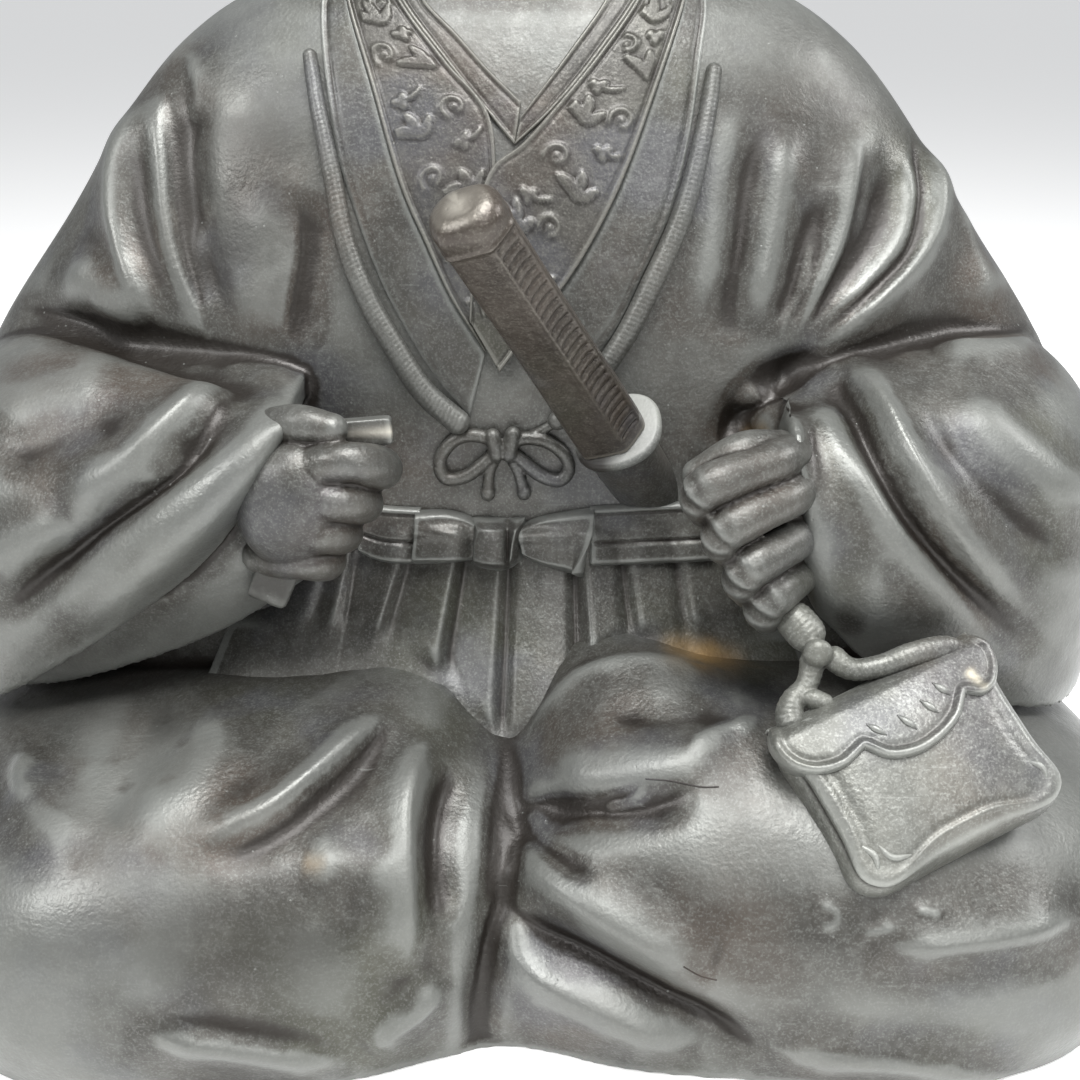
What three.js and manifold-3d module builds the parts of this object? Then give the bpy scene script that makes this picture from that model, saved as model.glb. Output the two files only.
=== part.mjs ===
// A cast bronze figure of a samurai seated cross-legged: jacket with wide sleeves, robe with crossed collars,
// pleated hakama trousers, a short sword in the belt, a folded fan in the right hand and a pouch in the left.
// Millimetres, +Z up. The figure faces -Y, with its left hand on the +X side.
import * as THREE from "three";
import { mergeVertices } from "three/addons/utils/BufferGeometryUtils.js";
import Module from "manifold-3d";

const wasm = await Module();
wasm.setup();

// Driving dimensions
const BODY_HALF_WIDTH = 176; // jacket, at elbow height
const LAP_HEIGHT = 82; // top of the folded legs
const SHOULDER_Z = 243;
const NECK_Z = 265; // top of the collar
const CHIN_Z = 272;
const HEAD_HEIGHT = 88; // chin to crown
const SPINE = { x: 1.2, y: 32.9 }; // the spine stands this far from the middle of the base
const JOINT_GAP = 0.35; // between one casting and the next

// The drawing board stands square to a line of sight that falls on the figure from in front and above.
// Folds and edges are laid out on it in board units, 1080 across, and carried back along that line.
const EYE = new THREE.Vector3(7, -426, 255);
const SIGHT_TILT = THREE.MathUtils.degToRad(22);
const BOARD_DISTANCE = 1407;
const BOARD_MIDDLE = 540;
const AHEAD = new THREE.Vector3(0, Math.cos(SIGHT_TILT), -Math.sin(SIGHT_TILT));
const UP = new THREE.Vector3(0, Math.sin(SIGHT_TILT), Math.cos(SIGHT_TILT));

const V = (x, y, z) => new THREE.Vector3(x, y, z);
const rad = THREE.MathUtils.degToRad;
const power = (value, exponent) => Math.sign(value) * Math.abs(value) ** exponent;
const steps = (count, make) => Array.from({ length: count }, (_, i) => make(i));

function toBoard(point) {
  const away = point.clone().sub(EYE);
  const scale = BOARD_DISTANCE / away.dot(AHEAD);
  return [BOARD_MIDDLE + away.x * scale, BOARD_MIDDLE - away.dot(UP) * scale];
}

function sightLine([u, v]) {
  return AHEAD.clone()
    .multiplyScalar(BOARD_DISTANCE)
    .addScaledVector(UP, BOARD_MIDDLE - v)
    .add(V(u - BOARD_MIDDLE, 0, 0))
    .normalize();
}

// A smooth curve through a table's rows [at, value, value...], read at one place.
function flow(table, at) {
  const after = table.findIndex((row) => row[0] > at);
  const i = after < 0 ? table.length - 2 : Math.max(after - 1, 0);
  const [a, b] = [table[i], table[i + 1]];
  const [before, next] = [table[i - 1] ?? a, table[i + 2] ?? b];
  const span = b[0] - a[0];
  const t = THREE.MathUtils.clamp((at - a[0]) / span, 0, 1);
  return a.slice(1).map((start, k) => {
    const end = b[k + 1];
    const leave = ((end - before[k + 1]) / (b[0] - before[0])) * span;
    const arrive = ((next[k + 1] - start) / (next[0] - a[0])) * span;
    const [t2, t3] = [t * t, t * t * t];
    const rise = 3 * t2 - 2 * t3;
    return start + rise * (end - start) + (t3 - 2 * t2 + t) * leave + (t3 - t2) * arrive;
  });
}

// A closed skin over a row of rings, each with the same number of points, with a fan over both ends.
// turned(row, i) tells which way a four-sided patch is split in two.
function skin(rings, turned = () => false) {
  const sides = rings[0].length;
  const middle = (ring) => ring.reduce((sum, p) => sum.add(p), V(0, 0, 0)).divideScalar(sides);
  const points = [...rings.flat(), middle(rings[0]), middle(rings.at(-1))];
  const faces = [];
  const foot = rings.length * sides;
  const lastRow = (rings.length - 1) * sides;
  for (let i = 0; i < sides; i++) {
    const next = (i + 1) % sides;
    for (let row = 0; row < rings.length - 1; row++) {
      const [low, high] = [row * sides, (row + 1) * sides];
      if (turned(row, i)) faces.push(low + i, low + next, high + i, low + next, high + next, high + i);
      else faces.push(low + i, low + next, high + next, low + i, high + next, high + i);
    }
    faces.push(foot, next, i, foot + 1, lastRow + i, lastRow + next);
  }
  const geometry = new THREE.BufferGeometry().setFromPoints(points);
  geometry.setIndex(faces);
  geometry.computeVertexNormals();
  return geometry;
}

// The skin's solid, turned right side out.
function solid(geometry) {
  const bare = geometry.clone();
  bare.deleteAttribute("normal");
  bare.deleteAttribute("uv");
  const merged = mergeVertices(bare, 1e-3);
  const index = merged.index.array;
  const corner = (k) => V(0, 0, 0).fromBufferAttribute(merged.attributes.position, index[k]);
  let volume = 0;
  for (let k = 0; k < index.length; k += 3) volume += corner(k).dot(corner(k + 1).cross(corner(k + 2)));
  const triVerts = new Uint32Array(index);
  if (volume < 0)
    for (let k = 0; k < index.length; k += 3) [triVerts[k], triVerts[k + 1]] = [triVerts[k + 1], triVerts[k]];
  const vertProperties = new Float32Array(merged.attributes.position.array);
  return new wasm.Manifold(new wasm.Mesh({ numProp: 3, vertProperties, triVerts }));
}

const union = (solids) => solids.reduce((whole, next) => whole.add(next));

function geometryOf(made) {
  const mesh = made.getMesh();
  const geometry = new THREE.BufferGeometry();
  geometry.setAttribute("position", new THREE.BufferAttribute(new Float32Array(mesh.vertProperties), 3));
  geometry.setIndex(new THREE.BufferAttribute(new Uint32Array(mesh.triVerts), 1));
  geometry.computeVertexNormals();
  return geometry;
}

// A rod with round ends along a curve through the points, its radius running through the radii.
function limb(points, radii, { sides = 7, bends = 2, flat = 1 } = {}) {
  const curve = new THREE.CatmullRomCurve3(points);
  const table = radii.map((radius, i) => [i / (radii.length - 1), radius]);
  const count = (points.length - 1) * bends;
  const ringAt = (t, shrink, push) => {
    const along = curve.getTangentAt(t);
    const across = V(0, 0, 1).cross(along);
    if (across.lengthSq() < 1e-3) across.set(1, 0, 0);
    across.normalize();
    const rise = along.clone().cross(across);
    const [radius] = flow(table, t);
    const centre = curve.getPointAt(t).addScaledVector(along, push * radius);
    return steps(sides, (i) => {
      const turn = (2 * Math.PI * i) / sides;
      return centre
        .clone()
        .addScaledVector(across, Math.cos(turn) * radius * shrink)
        .addScaledVector(rise, Math.sin(turn) * radius * shrink * flat);
    });
  };
  const length = steps(count + 1, (i) => ringAt(i / count, 1, 0));
  return solid(skin([ringAt(0, 0.6, -0.7), ...length, ringAt(1, 0.6, 0.7)]));
}

function ball(centre, radii, turn = 0, round = 8, rows = 5) {
  const geometry = new THREE.SphereGeometry(1, round, rows);
  geometry.rotateX(Math.PI / 2);
  geometry.scale(...radii);
  geometry.rotateY(turn);
  geometry.translate(...centre.toArray());
  return solid(geometry);
}

// A fold is a ridge, or with a negative lift a groove, along a line on the board. Its reach is given in board
// units on the left and on the right of the line as it is travelled.
function foldLift({ line, lift, wide }, [u, v]) {
  let near = { distance: Infinity };
  for (let i = 0; i < line.length - 1; i++) {
    const [ax, ay] = line[i];
    const [dx, dy] = [line[i + 1][0] - ax, line[i + 1][1] - ay];
    const t = THREE.MathUtils.clamp(((u - ax) * dx + (v - ay) * dy) / (dx * dx + dy * dy), 0, 1);
    const distance = Math.hypot(u - ax - t * dx, v - ay - t * dy);
    const side = (u - ax) * dy - (v - ay) * dx > 0 ? 0 : 1;
    if (distance < near.distance) near = { distance, side, along: (i + t) / (line.length - 1) };
  }
  const fade = Math.min(1, 4 * near.along + 0.2) * Math.min(1, 4 * (1 - near.along) + 0.2);
  return lift * fade * Math.exp(-((near.distance / wide[near.side]) ** 2));
}

// Lifts the cloth that faces the board by the folds drawn there, and splits its patches along the folds.
function drape(rings, folds) {
  const normals = skin(rings).attributes.normal;
  const sides = rings[0].length;
  const liftAt = (point) => folds.reduce((sum, fold) => sum + foldLift(fold, toBoard(point)), 0);
  const lifts = rings.map((ring) => ring.map(liftAt));
  const turned = (row, i) => {
    const next = (i + 1) % sides;
    const [a, b, c, d] = [lifts[row][i], lifts[row][next], lifts[row + 1][next], lifts[row + 1][i]];
    const middle = liftAt(rings[row][i].clone().add(rings[row + 1][next]).multiplyScalar(0.5));
    return Math.abs((b + d) / 2 - middle) < Math.abs((a + c) / 2 - middle);
  };
  const draped = rings.map((ring, row) =>
    ring.map((point, i) => {
      const out = V(0, 0, 0).fromBufferAttribute(normals, row * sides + i);
      if (point.z < 1) out.setZ(0);
      const facing = THREE.MathUtils.clamp(-3 * out.dot(sightLine(toBoard(point))), 0, 1);
      return point.clone().addScaledVector(out, lifts[row][i] * facing);
    }),
  );
  return skin(draped, turned);
}

// The jacket over shoulders, back and upper arms is one bell.
// Rows: height, half width, reach in front of the spine, reach behind it.
const BELL = [
  [0, 0.86 * BODY_HALF_WIDTH, 90, 96],
  [40, 0.93 * BODY_HALF_WIDTH, 90, 99],
  [60, 0.96 * BODY_HALF_WIDTH, 84, 98],
  [80, 0.985 * BODY_HALF_WIDTH, 72, 96],
  [100, BODY_HALF_WIDTH, 64, 93],
  [125, 0.98 * BODY_HALF_WIDTH, 62, 89],
  [157, 0.885 * BODY_HALF_WIDTH, 60, 82],
  [190, 0.745 * BODY_HALF_WIDTH, 54, 73],
  [215, 0.645 * BODY_HALF_WIDTH, 47, 64],
  [232, 0.565 * BODY_HALF_WIDTH, 40, 55],
  [SHOULDER_Z, 0.49 * BODY_HALF_WIDTH, 34, 48],
  [250, 0.42 * BODY_HALF_WIDTH, 29, 43],
  [256, 0.33 * BODY_HALF_WIDTH, 25, 38],
  [261, 0.25 * BODY_HALF_WIDTH, 22, 33],
  [NECK_Z, 0.17 * BODY_HALF_WIDTH, 18, 28],
];
const BELL_LEVELS = [0, 50, 84, 102, 118, ...steps(13, (i) => 132 + 9.3 * i), 251, 258, NECK_Z];
const BELL_SQUARE = 0.9;
const ARM_SHARES = steps(13, (i) => 0.29 + 0.054 * i); // shares of the half width where the sleeve folds lie
const BACK_WAVE = 2; // the back hangs in this many millimetres of broad folds
const BACK_WAVES = 9;
const HALF_ROUND = [
  ...[0.11, 0.22, ...ARM_SHARES].map((share) => Math.asin(share ** (1 / BELL_SQUARE))),
  ...[80, 99, 120, 140, 160].map(rad),
];
const BELL_ROUND = [...HALF_ROUND.map((angle) => -angle).reverse(), 0, ...HALF_ROUND, Math.PI];

function bellRing(z, grow = 0, round = BELL_ROUND) {
  const [wide, front, back] = flow(BELL, z);
  const hang = BACK_WAVE * THREE.MathUtils.smoothstep(z, 0, 30) * THREE.MathUtils.smoothstep(225 - z, 0, 60);
  return round.map((angle) => {
    const reach = Math.cos(angle) > 0 ? -(front + grow) : back + grow + hang * Math.cos(BACK_WAVES * angle);
    const [sine, cosine] = [Math.sin(angle), Math.abs(Math.cos(angle))];
    return V((wide + grow) * power(sine, BELL_SQUARE), reach * power(cosine, BELL_SQUARE), z);
  });
}

const BELL_FOLDS = [
  // right arm, from the shoulder down to the elbow
  { line: [[163, 84], [123, 160], [128, 245], [163, 329]], lift: 5.5, wide: [18, 20] },
  { line: [[176, 61], [166, 155], [179, 255], [212, 339]], lift: 3.5, wide: [17, 17] },
  { line: [[196, 60], [186, 150], [200, 260], [222, 330]], lift: -3.5, wide: [17, 17] },
  { line: [[288, 170], [272, 250], [262, 335]], lift: 4, wide: [20, 22] },
  { line: [[308, 190], [302, 280], [298, 350]], lift: -4, wide: [15, 17] },
  { line: [[70, 270], [105, 290], [150, 325]], lift: 5, wide: [24, 20] },
  { line: [[15, 303], [107, 329], [230, 356], [310, 405]], lift: -7, wide: [18, 18] },
  // left arm
  { line: [[739, 102], [734, 179], [720, 240], [706, 320]], lift: 3.5, wide: [18, 18] },
  { line: [[764, 130], [750, 191], [742, 242], [722, 345]], lift: -4.5, wide: [17, 17] },
  { line: [[797, 130], [770, 235], [750, 330]], lift: 4, wide: [19, 18] },
  { line: [[832, 130], [812, 204], [782, 330]], lift: -4, wide: [18, 18] },
  { line: [[868, 130], [862, 190], [832, 270], [792, 345]], lift: 4.5, wide: [20, 20] },
  { line: [[926, 150], [918, 225], [875, 290], [820, 350]], lift: 6.5, wide: [26, 24] },
  { line: [[958, 190], [984, 260], [1010, 330]], lift: 3, wide: [24, 24] },
  { line: [[800, 385], [860, 356], [975, 344], [1040, 356]], lift: -5, wide: [20, 20] },
];

// Each sleeve hangs from the forearm as a bag. Rows run along the arm from the cuff out:
// distance from the spine, top, lower edge, reach in front.
const SLEEVES = {
  right: [
    [56, 153, 148, 89], [61, 156, 139, 92], [66, 158, 131, 94], [75, 160, 119, 97], [83, 161, 111, 98],
    [92, 162, 104, 98], [114, 163, 88, 96], [141, 159, 70, 87], [160, 148, 60, 66], [172, 128, 62, 40],
    [180, 104, 68, 20],
  ],
  left: [
    [70, 152, 143, 94], [75, 155, 110, 97], [85, 158, 94, 99], [93, 160, 87, 100], [110, 162, 79, 98],
    [130, 161, 70, 91], [150, 155, 63, 80], [165, 143, 60, 60], [174, 124, 62, 36], [180, 104, 68, 20],
  ],
  // the robe's own sleeve shows under the jacket's at the right wrist
  lining: [
    [50, 136, 107, 79], [60, 142, 101, 84], [78, 146, 90, 86], [100, 148, 80, 84], [125, 146, 70, 78],
    [150, 140, 62, 66],
  ],
};
const SLEEVE_FOLDS = {
  right: [
    { line: [[240, 374], [191, 415], [125, 468], [60, 500]], lift: 5, wide: [20, 20] },
    { line: [[262, 387], [191, 447], [103, 530], [0, 617]], lift: -6.5, wide: [18, 18] },
    { line: [[284, 410], [240, 475], [170, 548], [82, 620]], lift: 4, wide: [18, 22] },
    { line: [[130, 405], [60, 440], [-20, 470]], lift: -3, wide: [22, 22] },
    { line: [[90, 378], [30, 400], [-20, 420]], lift: 3, wide: [20, 20] },
  ],
  left: [
    { line: [[805, 470], [812, 540], [835, 600]], lift: 2.5, wide: [20, 26] },
    { line: [[852, 430], [880, 480], [930, 556], [1030, 660]], lift: -5.5, wide: [20, 18] },
    { line: [[872, 400], [905, 473], [965, 556], [1045, 635]], lift: 4.5, wide: [20, 22] },
    { line: [[915, 400], [985, 490], [1085, 590]], lift: -4, wide: [20, 20] },
    { line: [[950, 390], [1015, 450], [1090, 520]], lift: 4, wide: [20, 20] },
    { line: [[780, 425], [850, 396], [930, 378], [1010, 378]], lift: 4, wide: [20, 20] },
  ],
  lining: [],
};
const SLEEVE_ROOT_Y = -4;

function sleeve(name, side, stations, arc) {
  const table = SLEEVES[name];
  const [inner, outer] = [table[0][0], table.at(-1)[0]];
  const rings = steps(stations, (i) => {
    const share = (i / (stations - 1)) ** 1.15;
    const x = inner + (outer - inner) * share;
    const [top, low, front] = flow(table, x);
    const place = (reach, z) => V(side * x, reach, z);
    const cuff = new THREE.CubicBezierCurve3(
      place(SLEEVE_ROOT_Y, top),
      place(-1.08 * front, top + 5),
      place(-1.14 * front, THREE.MathUtils.lerp(low, top, 0.45)),
      place(-0.96 * front, low),
    );
    const hollow = place(-0.6 * front, low + 0.2 * (top - low));
    return [...cuff.getPoints(arc), hollow, place(SLEEVE_ROOT_Y, low + 6)];
  });
  return solid(drape(rings, SLEEVE_FOLDS[name]));
}

// The folded legs in the hakama are two masses that meet in a cleft. Rows by the angle from straight ahead,
// positive to the figure's left: reach from the middle, height.
const LEGS_MIDDLE = V(-2, -22, 0);
const LEGS = [
  [-180, 112, 68], [-150, 124, 68], [-120, 150, 70], [-90, 177, 72], [-75, 189, 74], [-62, 193, 75],
  [-50, 189, 76], [-42, 183, 77], [-33, 167, 79], [-25, 152, 79], [-15, 139, 76], [-8, 129, 71],
  [0, 123, 67], [6, 126, 72], [12, 133, 80], [19, 141, 85], [27, 152, 87], [35, 167, 86],
  [43, 184, LAP_HEIGHT], [50, 194, 80], [60, 198, 78], [75, 191, 76], [90, 178, 74], [120, 150, 70],
  [150, 124, 68], [180, 112, 68],
];
const LEGS_ROUND = [-150, -122, ...steps(41, (i) => -100 + 5 * i), 122, 150, 180];
const LEGS_RISE = [0, 0.17, 0.35, 0.52, 0.69, 0.83, 0.93, 0.982]; // shares of the height
const LEGS_SQUARE = 0.62;
const HEM_TUCK = 0.03;
const LEG_FOLDS = [
  { line: [[512, 700], [508, 790], [500, 880], [482, 980], [474, 1090]], lift: -10, wide: [20, 20] },
  // right leg
  { line: [[392, 711], [321, 775], [257, 822], [190, 842]], lift: 5, wide: [22, 20] },
  { line: [[388, 750], [335, 795], [262, 850]], lift: -4, wide: [20, 20] },
  { line: [[428, 735], [408, 811], [404, 880], [420, 950]], lift: 5, wide: [22, 22] },
  { line: [[454, 760], [440, 830], [440, 915]], lift: -4, wide: [18, 16] },
  { line: [[130, 1034], [232, 1040], [360, 1062]], lift: 4, wide: [20, 18] },
  { line: [[221, 711], [171, 765], [118, 800]], lift: 2.5, wide: [24, 24] },
  // left leg
  { line: [[520, 806], [557, 814], [620, 812], [710, 798]], lift: -3.4, wide: [18, 20] },
  { line: [[535, 772], [606, 780], [690, 765], [760, 722]], lift: 3.5, wide: [22, 20] },
  { line: [[525, 858], [565, 890], [638, 931], [710, 968]], lift: 3.2, wide: [24, 24] },
  { line: [[520, 905], [555, 942], [620, 975], [690, 1008], [770, 1050]], lift: -4, wide: [22, 22] },
  { line: [[515, 952], [560, 1000], [664, 1042]], lift: 3, wide: [22, 22] },
  { line: [[870, 946], [940, 942], [1016, 935], [1085, 916]], lift: 3.5, wide: [24, 24] },
];

function legs() {
  const rings = LEGS_RISE.map((share) => {
    const climb = Math.asin(share ** (1 / LEGS_SQUARE));
    const tuck = 1 - HEM_TUCK * Math.max(0, 1 - share / 0.35) ** 2;
    return LEGS_ROUND.map((turn) => {
      const [reach, height] = flow(LEGS, turn);
      const out = reach * tuck * Math.cos(climb) ** LEGS_SQUARE;
      return V(out * Math.sin(rad(turn)), -out * Math.cos(rad(turn)), share * height).add(LEGS_MIDDLE);
    });
  });
  return solid(drape(rings, LEG_FOLDS));
}

// The front of the hakama falls from the belt to the lap in sharp pleats.
// Rows: place across at the belt, place across at the lap (board units), how far it stands out.
const PLEATS = [
  [296, 246, -5], [314, 276, 0.6], [330, 296, -1], [346, 317, 2.2], [350, 331, -1.6], [398, 358, 2.4],
  [405, 368, -1.8], [455, 431, 3.2], [461, 439, -2.2], [502, 495, 2], [507, 501, -2.4], [516, 511, 1],
  [545, 540, 2], [570, 572, 1], [576, 579, -2.4], [583, 592, 3.2], [618, 632, 1], [624, 638, -1.8],
  [631, 648, 2.6], [672, 690, 0.8], [678, 697, -1.6], [685, 706, 2.2], [730, 752, 0], [748, 776, -5],
];
const PLEAT_SLOPE = [[60, 96], [72, 87], [86, 76], [100, 67], [110, 64]]; // height, reach
const PLEAT_RISE = [58, 71, 84, 97, 110];
const PLEAT_TOP = 571;
const PLEAT_FOOT = 700;
const PLEAT_OPENING = [0.45, 1.15]; // shares of the depth at the belt and at the lap
const PLEAT_BACK = -30; // the front's solid ends here, inside the belly
const BELLY = { half: 75, bend: 7 }; // the front falls back by bend at half across

function hakamaFront() {
  const rings = PLEAT_RISE.map((z) => {
    const [reach] = flow(PLEAT_SLOPE, z);
    const [, v] = toBoard(V(0, -reach, z));
    const fallen = THREE.MathUtils.clamp((v - PLEAT_TOP) / (PLEAT_FOOT - PLEAT_TOP), -0.2, 1.2);
    const front = PLEATS.map(([atBelt, atLap, proud]) => {
      const line = sightLine([THREE.MathUtils.lerp(atBelt, atLap, fallen), v]);
      const place = EYE.clone().addScaledVector(line, (-reach - EYE.y) / line.y);
      const bend = BELLY.bend * (place.x / BELLY.half) ** 2;
      const open = Math.min(THREE.MathUtils.lerp(...PLEAT_OPENING, fallen), 1);
      return V(place.x, bend - reach - proud * open, z);
    });
    return [...front, V(front.at(-1).x, PLEAT_BACK, z), V(front[0].x, PLEAT_BACK, z)];
  });
  return solid(skin(rings));
}

const cloth = union([
  solid(drape(BELL_LEVELS.map((z) => bellRing(z)), BELL_FOLDS)),
  sleeve("right", -1, 15, 8),
  sleeve("lining", -1, 7, 6),
  sleeve("left", 1, 15, 8),
  legs(),
  hakamaFront(),
]);
const bothSides = new THREE.MeshBasicMaterial({ side: THREE.DoubleSide });
const clothMesh = new THREE.Mesh(geometryOf(cloth), bothSides);

// Where a place on the board lies on the cloth.
function onCloth([u, v]) {
  const [hit] = new THREE.Raycaster(EYE, sightLine([u, v])).intersectObject(clothMesh);
  return { point: hit.point, out: hit.face.normal.clone() };
}

const smooth = (places) => new THREE.CatmullRomCurve3(places.map(([u, v]) => V(u, v, 0)));

// A band of cloth between two lines on the board, standing proud of the robe.
const BAND_SUNK = 3;

function band(one, other, proud, pieces) {
  const [lineA, lineB] = [smooth(one), smooth(other)];
  const rings = steps(pieces + 1, (i) => {
    const [a, b] = [lineA, lineB].map((line) => onCloth(line.getPointAt(i / pieces).toArray()));
    const out = a.out.clone().add(b.out).normalize();
    const lifted = (from, height) => from.point.clone().addScaledVector(out, height);
    return [lifted(a, -BAND_SUNK), lifted(b, -BAND_SUNK), lifted(b, proud), lifted(a, proud)];
  });
  return solid(skin(rings));
}

// A cord that lies on the robe along a line on the board, a third of its radius off the cloth.
const CORD_SIDES = 3;
const CORD_PROUD = 0.35;

function cord(places, radius, pieces) {
  const line = smooth(places);
  const points = steps(pieces + 1, (i) => {
    const { point, out } = onCloth(line.getPointAt(i / pieces).toArray());
    return point.addScaledVector(out, CORD_PROUD * radius);
  });
  return limb(points, [radius, radius], { sides: CORD_SIDES, bends: 1 });
}

// Edges on the board: the robe's patterned collar, left side and right side, and the plain one under it.
const COLLAR_PROUD = 1.8;
const V_FOOT = [515, 146];
const RIGHT_OUTER = [[348, 2], [373, 88], [400, 182], [426, 243], [462, 318]];
const RIGHT_INNER = [[401, 2], [447, 64], [488, 114], [480, 190], [478, 300]];
const LEFT_INNER = [[637, 2], [589, 69], [526, 142], [480, 190], [474, 330]];
const LEFT_OUTER = [[684, 2], [656, 88], [620, 185], [562, 286], [503, 366]];
const UNDER_RIGHT = [[426, 2], [456, 34], [488, 70], [521, 103]];
const UNDER_LEFT = [[605, 2], [570, 52], [532, 103], [521, 118]];
const collars = [
  band(RIGHT_OUTER, RIGHT_INNER, COLLAR_PROUD, 5),
  band(LEFT_INNER, LEFT_OUTER, 1.5 * COLLAR_PROUD, 5),
  band([...RIGHT_INNER.slice(0, 3), V_FOOT], UNDER_RIGHT, 0.6 * COLLAR_PROUD, 3),
  band(UNDER_LEFT, [...LEFT_INNER.slice(0, 2), [550, 114], V_FOOT], 0.9 * COLLAR_PROUD, 3),
];

const CORD_RADIUS = 2;
const BOW_RADIUS = 1.8;
const BOW_KNOT = { at: [505, 447], size: [3.6, 3, 4.6] };
const cords = [
  cord([[312, 55], [320, 130], [345, 240], [400, 340], [465, 425], [501, 440]], CORD_RADIUS, 6),
  cord([[712, 70], [700, 150], [670, 240], [620, 352], [570, 415], [509, 441]], CORD_RADIUS, 6),
  cord([[500, 450], [466, 433], [441, 456], [460, 478], [499, 461]], BOW_RADIUS, 6),
  cord([[511, 449], [545, 442], [567, 466], [548, 479], [511, 462]], BOW_RADIUS, 6),
  cord([[502, 455], [489, 495]], BOW_RADIUS, 1),
  cord([[508, 456], [524, 495]], BOW_RADIUS, 1),
  ball(onCloth(BOW_KNOT.at).point, BOW_KNOT.size, 0, 6, 4),
];

// The belt, and its flat bow: a wing, the knot and the other wing.
const BELT_PROUD = 2;
const BELT_TOP = [[372, 508], [420, 512], [510, 517], [600, 516], [700, 512]];
const BELT_FOOT = [[362, 556], [420, 563], [510, 569], [600, 568], [706, 563]];
const belt = [
  band(BELT_TOP, BELT_FOOT, BELT_PROUD, 4),
  band([[416, 511], [418, 564]], [[480, 523], [478, 566]], 2 * BELT_PROUD, 1),
  band([[473, 519], [475, 573]], [[527, 521], [524, 577]], 2.8 * BELT_PROUD, 1),
  band([[520, 523], [522, 565]], [[592, 509], [590, 577]], 2 * BELT_PROUD, 1),
];

// The jacket's collar lies in a roll round the nape.
const NAPE_TURN = 225; // degrees round the neck
const napeRoll = limb(
  steps(7, (i) => {
    const angle = rad(NAPE_TURN * (i / 6 - 0.5));
    return V(33 * Math.sin(angle), 2 + 30 * Math.cos(angle), 259 + 4 * Math.cos(angle));
  }),
  [5, 6, 5],
  { sides: 5, bends: 1, flat: 1.5 },
);

// Head and neck are one casting let down into the collar; the bare chest in the collar's V is its tongue.
const TONGUE_FOOT = 212;
const TONGUE_HALF = 24;
const TONGUE_REACH = 60;
const TONGUE_LEVELS = [205, 225, 240, 252, 259, 264];
const NECK = { spine: [V(0, 2, 238), V(0, -1, 262), V(0, -3, CHIN_Z + 8)], radii: [24, 22, 21] };

function neckPlug(grow) {
  const tongue = new THREE.Shape();
  const half = TONGUE_HALF + grow;
  tongue.moveTo(-half, CHIN_Z).lineTo(half, CHIN_Z).lineTo(0, TONGUE_FOOT - 2 * grow).closePath();
  const prism = new THREE.ExtrudeGeometry(tongue, { depth: TONGUE_REACH + grow, bevelEnabled: false });
  prism.rotateX(Math.PI / 2);
  prism.translate(0, grow, 0);
  const round = steps(12, (i) => rad(30 * i - 180));
  // the socket is open to the front, and the tongue lies just under the collars
  const depth = grow > 0 ? 3 : -1.5;
  const inside = solid(skin(TONGUE_LEVELS.map((z) => bellRing(z, depth, round))));
  const radii = NECK.radii.map((radius) => radius + grow);
  const neck = limb(NECK.spine, radii, { sides: 10, bends: 1 });
  return solid(prism).intersect(inside).add(neck);
}

// Skull by height over the chin: half width, reach in front, reach behind.
const SKULL_Y = -6;
const SKULL = [
  [-6, 9, 10, 18], [0, 15, 26, 22], [6, 20.5, 31.5, 26], [14, 25, 33, 31], [26, 28.5, 34.5, 37],
  [38, 30, 35, 40], [50, 30.5, 35.5, 41], [62, 29.5, 34, 39.5], [72, 26.5, 29, 35.5], [80, 20.5, 21, 28],
  [85.5, 12, 12, 17], [HEAD_HEIGHT, 3, 3, 4],
];
// Features: place across, height over the chin, half width, half height, how far they stand out.
// Those off the middle come in pairs.
const FEATURES = [
  [0, 30, 5, 4.5, 8.5], // tip of the nose
  [0, 38, 3.6, 8, 5],
  [5.5, 28, 3, 3, 2.4],
  [14, 44, 9, 5, -4.6], // eye sockets
  [14, 43, 6.5, 3.4, 3.4],
  [12, 51, 12, 3, 2.4], // brows
  [19, 35, 8, 7, 1.8], // cheekbones
  [0, 21, 8.5, 2.2, 2.6], // lips
  [0, 15.5, 7.5, 2.4, 2.8],
  [0, 18.4, 10, 1.2, -1.4],
  [0, 5, 9, 5.5, 3.2], // chin
  [0, 10.8, 9, 2.6, -1.2],
];
const HAIR_THICK = 1.8;
const hairline = (across) => 66 - 0.022 * across * across;

function faceLift(x, height) {
  return FEATURES.reduce((sum, [across, up, wide, tall, lift]) => {
    const bump = (side) => Math.exp(-(((x - side * across) / wide) ** 2) - ((height - up) / tall) ** 2);
    return sum + lift * (across ? bump(1) + bump(-1) : bump(0));
  }, 0);
}

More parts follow.
